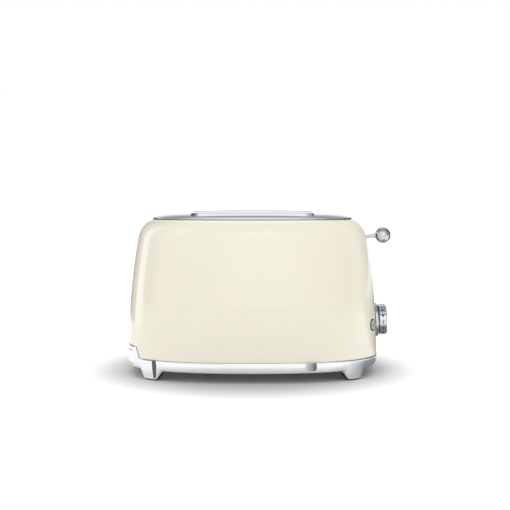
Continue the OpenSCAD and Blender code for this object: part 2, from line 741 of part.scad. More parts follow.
module bread_rest(y) {
    left = -end_x - chamber_sheet - 3;
    reach = slot_length / 2 - rest_bar;
    color([0.72, 0.73, 0.74]) {
        translate([left, y - rest_sheet / 2, rest_height - rest_spine])
            cube([carriage_x - left, rest_sheet, rest_spine]);
        for (i = [0:rest_bars - 1])
            translate([-reach + 2 * reach * i / (rest_bars - 1) - rest_sheet / 2, y - rest_bar,
                    rest_height - 3])
                cube([rest_sheet, 2 * rest_bar, 3]);
    }
}
module armature() {
    color([0.45, 0.46, 0.48])
        translate([magnet_x - magnet_half_x, -armature_half, carriage_bottom - armature_height])
            cube([2 * magnet_half_x, 2 * armature_half, armature_height]);
}
module guide_rod() {
    color([0.8, 0.81, 0.83]) translate([rod_x, rod_side, floor_top])
        cylinder(h = shelf_bottom - floor_top, r = rod_radius);
}
spring_bottom = lug_height + lug_sheet;
module return_spring() {
    sides = 6;
    steps = 10;
    rise = shelf_bottom - spring_bottom - 2 * spring_wire - 0.1;
    count = spring_turns * steps;
    rings = [for (i = [0:count]) let (t = 360 * i / steps)
        [for (j = [0:sides - 1]) let (u = -360 * j / sides, r = spring_radius + spring_wire * cos(u))
            [r * cos(t), r * sin(t), rise * i / count + spring_wire * sin(u)]]];
    color([0.55, 0.56, 0.58])
        translate([rod_x, -rod_side, spring_bottom + spring_wire + 0.05]) skin(rings);
}
magnet_top = carriage_bottom - carriage_travel - armature_height - 0.5;
module magnet_core() {
    height = magnet_top - floor_top;
    color([0.4, 0.41, 0.43])
        translate([magnet_x - magnet_half_x, 0, floor_top]) {
            translate([0, -armature_half, 0]) cube([2 * magnet_half_x, 2 * armature_half, 3]);
            for (y = [-armature_half, armature_half - 3])
                translate([0, y, 0]) cube([2 * magnet_half_x, 3, height]);
            translate([4, -4, 0]) cube([2 * magnet_half_x - 8, 8, height]);
        }
}
module magnet_coil() {
    height = magnet_top - floor_top;
    color([0.7, 0.35, 0.15]) translate([magnet_x, 0, floor_top + 3]) difference() {
        translate([-7.5, -7.5, 0]) cube([15, 15, height - 5]);
        translate([-4, -4, -1]) cube([8, 8, height]);
    }
}
module mains_contacts() {
    color([0.85, 0.85, 0.8]) translate([rod_x - 8, rod_side + 10, floor_top]) {
        cube([14, 16, 12]);
        for (y = [2, 9]) translate([3, y, 12]) cube([8, 4, 3]);
    }
}

// Lever
module lever_stem() {
    color([0.8, 0.81, 0.83]) translate([ball_x, 0, ball_height]) rotate([0, -90 - stem_tilt, 0])
        translate([0, 0, ball_radius - 6]) cylinder(h = ball_x - arm_x + 2, r = stem_radius);
}
module lever_ball() {
    color([0.85, 0.86, 0.88]) translate([ball_x, 0, ball_height]) difference() {
        sphere(ball_radius);
        rotate([0, -90 - stem_tilt, 0]) translate([0, 0, ball_radius - 6.1])
            cylinder(h = 20, r = stem_radius + pressed);
    }
}
module lever_slot_trim() {
    color([0.2, 0.2, 0.2]) difference() {
        intersection() {
            difference() {
                body_block(-0.3);
                body_block(body_wall + 1.5);
            }
            lever_prism(trim_width, slot_low - trim_lip, slot_high + trim_lip, board_x,
                body_length);
        }
        lever_prism(lever_slot, slot_low, slot_high, board_x - 5, body_length);
    }
}

// Dial
module dial_bezel() {
    bore = shaft_radius + 0.5;
    chamfer = 0.8;
    color([0.85, 0.86, 0.88]) on_face(0, dial_height) rotate_extrude()
        polygon([[bore, -8], [bezel_boss, -8], [bezel_boss, 0.05], [bezel_radius, 0.05],
            [bezel_radius, bezel_thickness - chamfer],
            [bezel_radius - chamfer, bezel_thickness], [bore, bezel_thickness]]);
}
dial_start = bezel_thickness + 0.5;
dial_face = dial_start + dial_depth - 1.6;
module browning_dial() {
    groove = 0.6;
    color([0.85, 0.86, 0.88]) on_face(0, dial_height) rotate([0, 0, grip_angle]) difference() {
        union() {
            cylinder(h = dial_face - 1.5, r = dial_radius);
            translate([0, 0, dial_face - 1.5]) cylinder(h = 1.5, r1 = dial_radius,
                r2 = dial_radius - 1.5);
            intersection() {
                translate([-grip_width / 2, -dial_radius, dial_start])
                    cube([grip_width, 2 * dial_radius, dial_depth]);
                cylinder(h = 40, r = dial_radius);
            }
        }
        translate([0, 0, -1]) cylinder(h = dial_start + 1, r = dial_radius + 1);
        translate([0, 0, -1]) cylinder(h = dial_start + 8, r = shaft_radius + pressed);
        for (x = [-grip_width / 2 - groove, grip_width / 2])
            translate([x, -dial_radius - 1, dial_face - 0.8])
                cube([groove, 2 * dial_radius + 2, 3]);
        for (x = [-grip_width / 2 - groove, grip_width / 2], y = [-1, 1])
            translate([x, y * dial_radius - 0.8, 0]) cube([groove, 1.6, 30]);
    }
}
dial_back = (face_x(0, dial_height) - board_x - board_sheet) / cos(face_tilt(dial_height)) - 0.8;
pot_depth = 9;
module dial_shaft() {
    color([0.7, 0.71, 0.72]) on_face(0, dial_height)
        translate([0, 0, pot_depth - 2 - dial_back])
            cylinder(h = dial_back - pot_depth + 2 + dial_start + 6.9, r = shaft_radius);
}
module potentiometer() {
    color([0.25, 0.3, 0.28]) on_face(0, dial_height)
        translate([0, 0, -dial_back]) difference() {
            union() {
                cylinder(h = pot_depth, r = 8.2);
                cylinder(h = pot_depth + 4, r = shaft_radius + 1.5);
            }
            translate([0, 0, pot_depth - 2.1]) cylinder(h = 20, r = shaft_radius + shaft_clearance);
        }
}
module control_board() {
    color([0.1, 0.4, 0.2]) translate([board_x, -board_width / 2, dial_height - board_drop])
        cube([board_sheet, board_width, board_height]);
}
module control_bracket() {
    color([0.9, 0.89, 0.86]) {
        translate([board_x - bracket_sheet, -board_width / 2 - 8, dial_height - board_drop])
            cube([bracket_sheet, board_width + 16, board_height - 2]);
        translate([board_x - bracket_sheet, -10, floor_top])
            cube([bracket_sheet, 20, dial_height - floor_top - 20]);
        for (y = [-button_side, button_side])
            on_face(y, dial_height) translate([-12, -11, -switch_depth - bracket_sheet])
                cube([24, 22, bracket_sheet]);
    }
}

// Buttons
switch_height = 5;
plunger_height = 1;
button_start = button_travel + touch;
module button_ring_at(y) {
    color([0.85, 0.86, 0.88]) on_face(y, dial_height) difference() {
        union() {
            translate([0, 0, 0.1]) cylinder(h = 0.7, r1 = button_ring, r2 = button_ring - 0.4);
            translate([0, 0, -5]) cylinder(h = 5.2, r = button_sleeve);
        }
        translate([0, 0, -6]) cylinder(h = 12, r = button_radius + button_gap);
    }
}
module button_at(y) {
    color([0.8, 0.81, 0.83]) on_face(y, dial_height) {
        translate([0, 0, -3]) cylinder(h = 3.8, r = button_radius);
        translate([0, 0, 0.8]) cylinder(h = 0.6, r1 = button_radius, r2 = button_radius - 0.8);
        translate([0, 0, -switch_depth + switch_height + plunger_height + button_start])
            cylinder(h = switch_depth - switch_height - plunger_height - button_start - 2, r = 1.8);
    }
}
module switch_at(y) {
    color([0.15, 0.15, 0.16]) on_face(y, dial_height) translate([0, 0, -switch_depth]) {
        translate([-4, -4, 0]) cube([8, 8, switch_height]);
        cylinder(h = switch_height + plunger_height, r = 1.7);
    }
}

body_shell();
top_plate();
base_skirt();
foot(-1, -1);  // foot_front_left
foot(1, -1);  // foot_front_right
foot(-1, 1);  // foot_rear_left
foot(1, 1);  // foot_rear_right
base_plate();
base_screws();
cord_gland();
terminal_block();
crumb_tray();
tray_front();
tray_rails();
chamber_end(-1);  // chamber_end_left
chamber_end(1);  // chamber_end_right
chamber_screws();
reflector(-1);  // reflector_front
reflector(1);  // reflector_rear
centre_divider();
mica_board(board_sides[0]);  // mica_board_front_outer
mica_board(board_sides[1]);  // mica_board_front_inner
mica_board(board_sides[2]);  // mica_board_rear_inner
mica_board(board_sides[3]);  // mica_board_rear_outer
heating_ribbon(board_sides[0]);  // heating_ribbon_front_outer
heating_ribbon(board_sides[1]);  // heating_ribbon_front_inner
heating_ribbon(board_sides[2]);  // heating_ribbon_rear_inner
heating_ribbon(board_sides[3]);  // heating_ribbon_rear_outer
bread_guide(-slot_side - guide_offset);  // bread_guide_front_outer
bread_guide(-slot_side + guide_offset);  // bread_guide_front_inner
bread_guide(slot_side - guide_offset);  // bread_guide_rear_inner
bread_guide(slot_side + guide_offset);  // bread_guide_rear_outer
carriage_plate();
carriage_bush();
bread_rest(-slot_side);  // bread_rest_front
bread_rest(slot_side);  // bread_rest_rear
armature();
guide_rod();
return_spring();
magnet_core();
magnet_coil();
mains_contacts();
lever_stem();
lever_ball();
lever_slot_trim();
dial_bezel();
browning_dial();
dial_shaft();
potentiometer();
control_board();
control_bracket();
button_ring_at(-button_side);  // button_ring_front
button_ring_at(button_side);  // button_ring_rear
button_at(-button_side);  // defrost_button
button_at(button_side);  // reheat_button
switch_at(-button_side);  // switch_front
switch_at(button_side);  // switch_rear
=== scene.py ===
import functools
import json
import math
import bmesh
import bpy
import numpy as np
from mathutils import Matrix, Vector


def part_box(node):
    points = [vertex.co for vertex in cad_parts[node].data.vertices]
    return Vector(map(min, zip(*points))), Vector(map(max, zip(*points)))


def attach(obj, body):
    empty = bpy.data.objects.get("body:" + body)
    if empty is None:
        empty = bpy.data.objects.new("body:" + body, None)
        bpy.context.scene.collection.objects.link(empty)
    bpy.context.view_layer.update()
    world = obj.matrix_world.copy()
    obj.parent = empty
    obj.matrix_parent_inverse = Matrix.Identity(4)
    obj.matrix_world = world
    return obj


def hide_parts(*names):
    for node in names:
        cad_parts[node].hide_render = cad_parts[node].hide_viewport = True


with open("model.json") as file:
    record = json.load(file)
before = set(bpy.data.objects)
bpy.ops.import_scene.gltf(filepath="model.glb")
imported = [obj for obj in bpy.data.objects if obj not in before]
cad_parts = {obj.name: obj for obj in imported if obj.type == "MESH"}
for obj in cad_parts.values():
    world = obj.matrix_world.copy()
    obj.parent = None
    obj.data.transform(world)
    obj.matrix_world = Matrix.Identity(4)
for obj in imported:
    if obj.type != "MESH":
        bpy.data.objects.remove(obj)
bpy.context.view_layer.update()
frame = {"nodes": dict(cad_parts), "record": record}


# sRGB hex to the linear colour that a shader works in
def paint(hexColour):
    share = np.array([int(hexColour[i:i + 2], 16) for i in (1, 3, 5)]) / 255
    linear = np.where(share <= 0.04045, share / 12.92, ((share + 0.055) / 1.055) ** 2.4)
    return (*linear.tolist(), 1.0)


def grey(level):
    return (level, level, level, 1)


# Adds one shader node. An input is a value, or a link from another node's first output or from the
# output named in a (node, output) pair. stops are a ramp's (position, colour) pairs. A colour mix has its
# share at 0, its colours at 6 and 7 and its result at 2
def addNode(tree, kind, inputs={}, stops=(), **settings):
    node = tree.nodes.new("ShaderNode" + kind)
    for name, setting in settings.items():
        setattr(node, name, setting)
    for index, (position, colour) in enumerate(stops):
        ramp = node.color_ramp.elements
        stop = ramp[index] if index < 2 else ramp.new(position)
        stop.position, stop.color = position, colour
    for name, given in inputs.items():
        source = given if isinstance(given, tuple) else (given, 0)
        if isinstance(source[0], bpy.types.Node):
            tree.links.new(source[0].outputs[source[1]], node.inputs[name])
        else:
            node.inputs[name].default_value = given
    return node


# Settings that carry one range of values over to another
def fromTo(fromLow, fromHigh, low=0.0, high=1.0):
    return {"From Min": fromLow, "From Max": fromHigh, "To Min": low, "To Max": high}


# Empties the node tree of a material or a world, and gives what adds nodes to it
def emptyTree(owner):
    owner.use_nodes = True
    owner.node_tree.nodes.clear()
    return functools.partial(addNode, owner.node_tree)


def addObject(name, data):
    added = bpy.data.objects.new(name, data)
    bpy.context.scene.collection.objects.link(added)
    return added


# Camera, first of all
viewpoint = {"distance": 1.534, "height": 0.2979, "side": 0.0032, "pitch": 5.70, "lens": 86.8}
camera = addObject("viewpoint", bpy.data.cameras.new("viewpoint"))
camera.data.lens, camera.data.sensor_width, camera.data.clip_end = viewpoint["lens"], 36, 60
camera.location = (viewpoint["side"], -viewpoint["distance"], viewpoint["height"])
camera.rotation_euler = (math.radians(90 - viewpoint["pitch"]), 0, 0)
bpy.context.scene.camera = camera
bpy.context.scene.view_settings.view_transform = "Standard"
print("camera placed")


# The mesh of an object as its modifiers or its text leave it
def finishedMesh(added):
    return bpy.data.meshes.new_from_object(added.evaluated_get(bpy.context.evaluated_depsgraph_get()))


# Quads of a grid of points. keep masks cells, around closes the columns, flip turns the faces over
def gridFaces(rows, columns, around=False, keep=None, flip=False):
    across = columns if around else columns - 1
    i, j = np.meshgrid(np.arange(rows - 1), np.arange(across), indexing="ij")
    k = (j + 1) % columns
    quads = np.stack([i * columns + j, i * columns + k, (i + 1) * columns + k, (i + 1) * columns + j], -1)
    quads = quads.reshape(-1, 4) if keep is None else quads[keep]
    return quads[:, ::-1] if flip else quads


# A sheet is a grid of points with its faces
def sheet(points, **how):
    return points, gridFaces(*points.shape[:2], **how)


# Middles of a closed grid's cells, as x, y and z
def cellMiddles(points):
    side = np.concatenate([points, points[:, :1]], 1)
    return np.moveaxis((side[:-1, :-1] + side[1:, :-1] + side[:-1, 1:] + side[1:, 1:]) / 4, -1, 0)


# Welds points a thousandth of a millimetre apart, drops unused ones, and turns collapsed quads into
# triangles
def weldSheets(sheets):
    start, clouds, faces = 0, [], []
    for points, quads in sheets:
        clouds.append(points.reshape(-1, 3))
        faces.append(quads + start)
        start += len(clouds[-1])
    cloud, quads = np.concatenate(clouds), np.concatenate(faces)
    used, quads = np.unique(quads, return_inverse=True)
    cloud, quads = cloud[used], quads.reshape(-1, 4)
    first, same = np.unique(np.round(cloud / 0.001).astype(np.int64), axis=0,
                            return_index=True, return_inverse=True)[1:]
    quads = same.reshape(-1)[quads]
    twins = quads == np.roll(quads, -1, axis=1)
    whole = quads[twins.sum(1) == 0]
    folded = twins.sum(1) == 1
    corner = (np.argmax(twins[folded], axis=1)[:, None] + 1 + np.arange(3)) % 4
    threes = np.take_along_axis(quads[folded], corner, axis=1)
    return cloud[first], whole, threes


# Makes a piece from its sheets, gives it a wall inwards, and splits the shading at real edges
def makePiece(name, sheets, material, body, stands=(), wall=0.0, edge=38):
    points, quads, threes = weldSheets(sheets)
    mesh = bpy.data.meshes.new(name)
    mesh.from_pydata((points * 0.001).tolist(), [], quads.tolist() + threes.tolist())
    mesh.polygons.foreach_set("use_smooth", np.ones(len(mesh.polygons), bool))
    piece = addObject(name, mesh)
    if wall:
        thicken = piece.modifiers.new("wall", "SOLIDIFY")
        thicken.thickness, thicken.offset = wall * 0.001, -1
        solid = finishedMesh(piece)
        piece.modifiers.clear()
        piece.data, solid.name = solid, name
    piece.data.set_sharp_from_angle(angle=math.radians(edge))
    piece.data.materials.append(material)
    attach(piece, body)
    if stands:
        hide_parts(*stands)


# A profile of (radius, height) pairs turned round an axis. place is (centre, across, along, axis)
def turnedSheet(profile, place, steps):
    centre, across, along, axis = place
    turn = np.linspace(0, 2 * np.pi, steps, endpoint=False)
    ring = np.cos(turn)[:, None] * across + np.sin(turn)[:, None] * along
    points = centre + profile[:, 0, None, None] * ring[None] + profile[:, 1, None, None] * axis
    return sheet(points, around=True)


# A profile with its inner corners rounded: each corner becomes an arc of its own radius
def roundedProfile(corners, radii, steps=5):
    corners = np.array(corners, float)
    path = [corners[:1]]
    for before, corner, after, radius in zip(corners[:-2], corners[1:-1], corners[2:], radii):
        into, out = before - corner, after - corner
        into, out = into / np.linalg.norm(into), out / np.linalg.norm(out)
        share = np.linspace(0, 1, steps)[:, None]
        path.append(corner + radius * (into * (1 - share) ** 2 + out * share ** 2))
    return np.concatenate(path + [corners[-1:]])


# Starts a material, and gives what adds nodes to it and the piece's own coordinates
def startMaterial(name):
    material = bpy.data.materials.new(name)
    add = emptyTree(material)
    return material, add, (add("TexCoord"), "Object")


# Ends a finish: the shader with its constants, and its colour, roughness and relief joined
def endFinish(add, constants, colour, roughness, relief):
    shader = add("BsdfPrincipled", {**constants, "Base Color": colour, "Roughness": roughness,
                                    "Normal": relief})
    add("OutputMaterial", {"Surface": shader})


# A grained finish: two shades and a roughness follow one pattern, patch millimetres wide, and a fine
# relief follows another, grain millimetres wide. With cells the grain is crystals or pores
def grainedFinish(name, light, dark, patch, roughness, grain, relief, stretch=(1, 1, 1), cells=False,
                  constants={"Metallic": 1.0}):
    material, add, place = startMaterial(name)
    stretched = add("Mapping", {"Scale": stretch, "Vector": place})
    clouds = add("TexNoise", {"Scale": 1000 / patch, "Detail": 4.0, "Vector": stretched})
    shades = add("Mix", {0: clouds, 6: paint(dark), 7: paint(light)}, data_type="RGBA")
    polish = add("MapRange", {"Value": clouds, **fromTo(0.3, 0.7, *roughness)})
    kind, detail = ("TexVoronoi", {}) if cells else ("TexNoise", {"Detail": 2.0})
    specks = add(kind, {"Scale": 1000 / grain, **detail, "Vector": stretched})
    bumps = add("Bump", {"Strength": 1.0, "Distance": relief * 0.001, "Height": specks})
    endFinish(add, constants, (shades, 2), polish, bumps)
    return material


# Cream enamel: pressed steel dipped and fired. Deep gloss with a faint ripple a few millimetres wide
creamEnamel = grainedFinish(
    "creamEnamel", light="#f0ebd9", dark="#eee8d5", patch=90, roughness=(0.34, 0.4), grain=3.2,
    relief=0.0016, constants={"IOR": 1.5, "Coat Weight": 1.0, "Coat Roughness": 0.04, "Coat IOR": 1.75})

# Stainless steel plate, pressed and polished along its length. Mirror-like, with long hairlines drawn
# half a millimetre apart, coarser than the real ones, so that they show
polishedSteel = grainedFinish(
    "polishedSteel", light="#dcdde0", dark="#cfd0d4", patch=2.4, roughness=(0.09, 0.16), grain=0.5,
    relief=0.0006, stretch=(0.03, 1, 1))

# Chrome plate over moulded and pressed parts. A clean mirror whose polish varies by a hand's breadth
# Painted light: a lighter copy of the chrome that the ball, stem, knob and bezel have
litChrome = grainedFinish(
    "litChrome", light="#f2f3f5", dark="#eaecee", patch=40, roughness=(0.035, 0.06), grain=6,
    relief=0.0008)

# Chrome plate on turned and polished brass. Painted shade: the base's chrome made a shade darker
shadedChrome = grainedFinish(
    "shadedChrome", light="#d8dadd", dark="#cfd1d4", patch=40, roughness=(0.035, 0.06), grain=6,
    relief=0.0008)

# Black rubber, moulded. Matt, with a fine grain from the mould
blackRubber = grainedFinish(
    "blackRubber", light="#191919", dark="#101010", patch=3, roughness=(0.62, 0.8), grain=0.6, relief=0.03,
    constants={"IOR": 1.52})

# Galvanised steel sheet. Dull zinc with frost-like crystals about six millimetres across
galvanisedSteel = grainedFinish(
    "galvanisedSteel", light="#bcc0c3", dark="#9da1a5", patch=6, roughness=(0.3, 0.48), grain=6,
    relief=0.02, cells=True)

# Drawn and ground steel wire. Bright, with fine drawing marks along its length
brightSteel = grainedFinish(
    "brightSteel", light="#c9cbce", dark="#b3b5b9", patch=1.5, roughness=(0.18, 0.3), grain=0.4,
    relief=0.004, stretch=(0.1, 1, 1))

# Zinc-plated screws and stampings. Slightly cloudy grey with a hint of yellow
zincSteel = grainedFinish(
    "zincSteel", light="#a9aaa6", dark="#8b8c8a", patch=4, roughness=(0.3, 0.45), grain=0.8, relief=0.008)

# Sintered bronze bush. Dull golden brown, full of tiny pores that hold oil
sinteredBronze = grainedFinish(
    "sinteredBronze", light="#b98f58", dark="#94703f", patch=2, roughness=(0.4, 0.55), grain=0.5,
    relief=0.05, cells=True)

# Oxidised heating ribbon, rolled. Dark grey-brown scale with patches of blue-grey
heaterAlloy = grainedFinish(
    "heaterAlloy", light="#6e655f", dark="#4c4a4c", patch=5, roughness=(0.45, 0.62), grain=0.5, relief=0.01)

# White heat-proof thermoplastic, moulded. Off-white, slightly waxy, with a light spark-eroded grain
whiteThermoplastic = grainedFinish(
    "whiteThermoplastic", light="#e9e6da", dark="#dfdccf", patch=12, roughness=(0.42, 0.52), grain=0.5,
    relief=0.01, constants={"IOR": 1.55})

# Black nylon, moulded with a fine spark-eroded texture. Charcoal with a soft sheen
blackNylon = grainedFinish(
    "blackNylon", light="#2a2a28", dark="#20201e", patch=8, roughness=(0.36, 0.5), grain=0.4, relief=0.012,
    constants={"IOR": 1.53})

# Grey ABS button caps, moulded and satin. Light bluish grey
greyAbs = grainedFinish(
    "greyAbs", light="#c3c6c8", dark="#b9bcbf", patch=6, roughness=(0.3, 0.38), grain=0.5, relief=0.006,
    constants={"IOR": 1.54, "Coat Weight": 0.3, "Coat Roughness": 0.15})

# Pad-printed ink for the figures and the signs. Dense dark grey with slightly uneven gloss
printInk = grainedFinish(
    "printInk", light="#35383b", dark="#2b2e31", patch=1, roughness=(0.4, 0.55), grain=0.3, relief=0.002,
    constants={"IOR": 1.5})


# Mica board, pressed from flakes. Straw-coloured scales of many sizes with a pearly glint
def micaFinish():
    material, add, place = startMaterial("micaBoard")
    flakes = add("TexVoronoi", {"Scale": 190.0, "Vector": place})
    clouds = add("TexNoise", {"Scale": 60.0, "Detail": 5.0, "Vector": place})
    edges = add("Mix", {0: 0.45, 6: (flakes, "Color"), 7: clouds}, data_type="RGBA")
    shades = add("ValToRGB", {"Fac": (edges, 2)}, stops=[(0.2, paint("#93825a")), (0.8, paint("#cdbf95"))])
    gloss = add("MapRange", {"Value": (edges, 2), **fromTo(0, 1, 0.3, 0.6)})
    relief = add("Bump", {"Strength": 0.7, "Distance": 0.00006, "Height": (flakes, "Distance")})
    endFinish(add, {"IOR": 1.58, "Coat Weight": 0.35, "Coat Roughness": 0.2}, shades, gloss, relief)
    return material


# Enamelled copper wire in even turns, one wire 0.6 mm thick, a third of which shows as a shadowed groove
def windingFinish():
    material, add, place = startMaterial("copperWinding")
    turns = add("TexWave", {"Scale": 1000 / 0.6 / 20, "Distortion": 0.3, "Detail": 1.0, "Vector": place},
                wave_type="BANDS", bands_direction="Z")
    turns = (turns, "Fac")
    # painted light and shade: lighter on each turn's crown and darker in its groove
    shades = add("Mix", {0: turns, 6: paint("#7a3c1e"), 7: paint("#c0713d")}, data_type="RGBA")
    gloss = add("MapRange", {"Value": turns, **fromTo(0, 1, 0.5, 0.28)})
    relief = add("Bump", {"Strength": 1.0, "Distance": 0.0002, "Height": turns})
    endFinish(add, {"Metallic": 1.0, "Coat Weight": 0.5, "Coat Roughness": 0.1}, (shades, 2), gloss, relief)
    return material


# Glass-fibre board under green solder mask. Tracks a millimetre wide show as lighter, raised lines
def boardFinish():
    material, add, place = startMaterial("circuitBoard")
    turned = add("Mapping", {"Rotation": (0, math.radians(90), 0), "Vector": place})
    tracks = add("TexBrick", {"Scale": 160.0, "Mortar Size": 0.09, "Mortar Smooth": 0.1, "Color1": grey(0),
                              "Color2": grey(0.08), "Mortar": grey(1), "Vector": turned})
    shades = add("Mix", {0: tracks, 6: paint("#1d5a37"), 7: paint("#3b8455")}, data_type="RGBA")
    clouds = add("TexNoise", {"Scale": 300.0, "Vector": place})
    gloss = add("MapRange", {"Value": clouds, **fromTo(0, 1, 0.25, 0.45)})
    relief = add("Bump", {"Strength": 1.0, "Distance": 0.00005, "Height": tracks})
    endFinish(add, {"IOR": 1.5, "Coat Weight": 0.6, "Coat Roughness": 0.12}, (shades, 2), gloss, relief)
    return material


micaBoard, copperWinding, circuitBoard = micaFinish(), windingFinish(), boardFinish()
print("finishes mixed")


# Corners and heights of the modelled nodes that the shapes start from
shellLow, shellHigh = np.array(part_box("body_shell")) * 1000
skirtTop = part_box("base_skirt")[1][2] * 1000
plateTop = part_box("top_plate")[1][2] * 1000
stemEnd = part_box("lever_stem")[0][0] * 1000

# The body's outline, which the plate and the base share. A zone is (side, |y|, reach, step): the mesh
# is finer there
bodyForm = {"halfLength": shellHigh[0], "halfDepth": shellHigh[1], "seam": shellLow[2],
            "rimArch": 1.6, "crestRise": 1.8, "endLean": 12.3, "sideLean": 10.0,
            "endHeight": 28.0, "endRun": 23.7, "sideHeight": 20.0, "sideRun": 38.0,
            "lengthPower": 2.31, "depthPower": 3.15, "shoulderPower": 2.5,
            "wall": 0.75, "roll": 0.8, "rollTilt": 18.0, "ledgeDepth": 3.2, "ledgeWidth": 5.0,
            "seamGap": 0.35, "panelGap": 0.3, "panelHalf": 56.7, "panelFlank": 6.3,
            "slotHole": 4.3, "dialHole": 8.2, "buttonHole": 6.9, "step": 3.6,
            "zones": [(1, 0, 6, 0.7), (1, 45, 8, 0.55), (-1, 59, 7, 1.2)]}
seam, powerX, powerY = bodyForm["seam"], bodyForm["lengthPower"], bodyForm["depthPower"]
rimHeight = shellHigh[2] - bodyForm["rimArch"]
crest = rimHeight + bodyForm["crestRise"]
endStart, sideStart = crest - bodyForm["endHeight"], crest - bodyForm["sideHeight"]
rimTurn = math.asin((1 - bodyForm["crestRise"] / bodyForm["endHeight"]) ** (bodyForm["shoulderPower"] / 2))


# How far a shoulder has turned in: a superellipse quarter of the given height and reach
def shoulderDrop(z, start, height, run):
    power = bodyForm["shoulderPower"]
    share = np.clip((z - start) / height, 0, 1)
    return run * (1 - (1 - share ** power) ** (1 / power))


# The sides lean in with the square of the height above the seam
def leanIn(z, amount):
    return amount * (np.maximum(z - seam, 0) / (endStart - seam)) ** 2


def halfLength(z):
    return bodyForm["halfLength"] - leanIn(z, bodyForm["endLean"]) \
        - shoulderDrop(z, endStart, bodyForm["endHeight"], bodyForm["endRun"])


def halfDepth(z):
    return bodyForm["halfDepth"] - leanIn(z, bodyForm["sideLean"]) \
        - shoulderDrop(z, sideStart, bodyForm["sideHeight"], bodyForm["sideRun"])


# The outline at unit size: |x| to the power 2.31 plus |y| to the power 3.15 is 1, walked by an angle
def unitOutline(turn):
    c, s = np.cos(turn), np.sin(turn)
    return (np.sign(c) * np.abs(c) ** (2 / powerX),
            np.sign(s) * np.abs(s) ** (2 / powerY))


# That sum of powers: less than 1 inside the outline and more outside it
def outlineSum(shareX, shareY):
    return np.abs(shareX) ** powerX + np.abs(shareY) ** powerY


# X at a given y on an outline of half sizes a and b
def outlineX(a, b, y):
    return a * (1 - (np.abs(y) / b) ** powerY) ** (1 / powerX)


# The angle at which that outline faces outwards, from the slope of the sum of powers
def outlineTurn(a, b, x, y):
    return math.atan2(powerY / b * (y / b) ** (powerY - 1), powerX / a * (x / a) ** (powerX - 1))


# Step at a place on the outline: coarse, and finer in the zones
def stepAt(x, y, form):
    step = form["step"] + 0 * x
    for side, middle, reach, fine in form["zones"]:
        step = np.where((side * x > 0) & (np.abs(np.abs(y) - middle) < reach), fine, step)
    return step


# Angles that walk the outline in steps of about spacing(x, y) millimetres. The first samples crowd
# together where the outline is flattest
def walkOutline(halfX, halfY, spacing):
    share = np.linspace(0, 1, 4001)
    quarter = np.pi / 2 * share ** 1.57 / (share ** 1.57 + (1 - share) ** 1.15)
    turn = np.r_[quarter, np.pi - quarter[-2::-1], np.pi + quarter[1:], 2 * np.pi - quarter[-2::-1]]
    x, y = unitOutline(turn)
    x, y = x * halfX, y * halfY
    steps = np.hypot(np.diff(x), np.diff(y)) / spacing((x[1:] + x[:-1]) / 2, (y[1:] + y[:-1]) / 2)
    walked = np.r_[0, np.cumsum(steps)]
    count = 4 * int(math.ceil(walked[-1] / 4))
    return np.interp(np.arange(count) * walked[-1] / count, walked, turn)


# X of the right-hand face
def faceX(y, z):
    return outlineX(halfLength(z), halfDepth(z), y)


# A place on the right-hand face: its centre, two directions across it and its normal
def facePlace(y, z):
    x = faceX(y, z)
    turn = np.sign(y) * outlineTurn(halfLength(z), halfDepth(z), x, abs(y))
    tilt = math.atan(halfLength(z - 1) - halfLength(z))
    down = np.array([math.sin(tilt) * math.cos(turn), math.sin(tilt) * math.sin(turn), -math.cos(tilt)])
    back = np.array([-math.sin(turn), math.cos(turn), 0.0])
    normal = np.array([math.cos(tilt) * math.cos(turn), math.cos(tilt) * math.sin(turn), math.sin(tilt)])
    return np.array([x, y, z]), down, back, normal


# A share from 0 to 1 with soft ends: 3 share squared less 2 share cubed
def ease(share):
    share = np.clip(share, 0, 1)
    return share * share * (3 - 2 * share)


rimA, rimB = float(halfLength(rimHeight)), float(halfDepth(rimHeight))
leverForm = {"width": 6.6, "ballRadius": 9.8, "ballHeight": 170.0, "ballReach": 22.0, "tilt": 5.0,
             "stemRadius": 2.0, "neck": 2.9, "collar": 2.15, "travel": 62.0, "spare": 3}
dialForm = {"height": 63.3, "radius": 19.0, "gap": 1.4, "depth": 9.5, "grip": 11.2, "gripTurn": 135.3,
            "gripRise": 0.2, "bezel": 21.25, "bezelThick": 3.8, "groove": 1.1, "grooveDepth": 1.6,
            "dish": 4.6, "rim": 1.7, "core": 17.6}
buttonForm = {"side": 45.0, "ring": 7.65, "cap": 5.9, "gap": 0.3, "proud": 0.75, "signLine": 0.42,
              "frost": 3.1, "heat": 2.9}
leverTilt = math.radians(leverForm["tilt"])
ballCentre = np.array([halfLength(leverForm["ballHeight"]) + leverForm["ballReach"], 0.0,
                       leverForm["ballHeight"]])
slotHigh = leverForm["ballHeight"] - leverForm["ballReach"] * math.tan(leverTilt) \
    + leverForm["width"] / 2 + leverForm["spare"]
slotLow = slotHigh - leverForm["travel"] - leverForm["width"] - 2 * leverForm["spare"]


# Height of the raised panel's edge at the left end: level, then a cosine flank down to the seam
def panelEdge(x, y, top, halfWidth, flank, low):
    share = np.clip((np.abs(y) - halfWidth) / flank, 0, 1)
    return np.where(x < 0, low + (top - low) * (1 + np.cos(np.pi * share)) / 2, low)


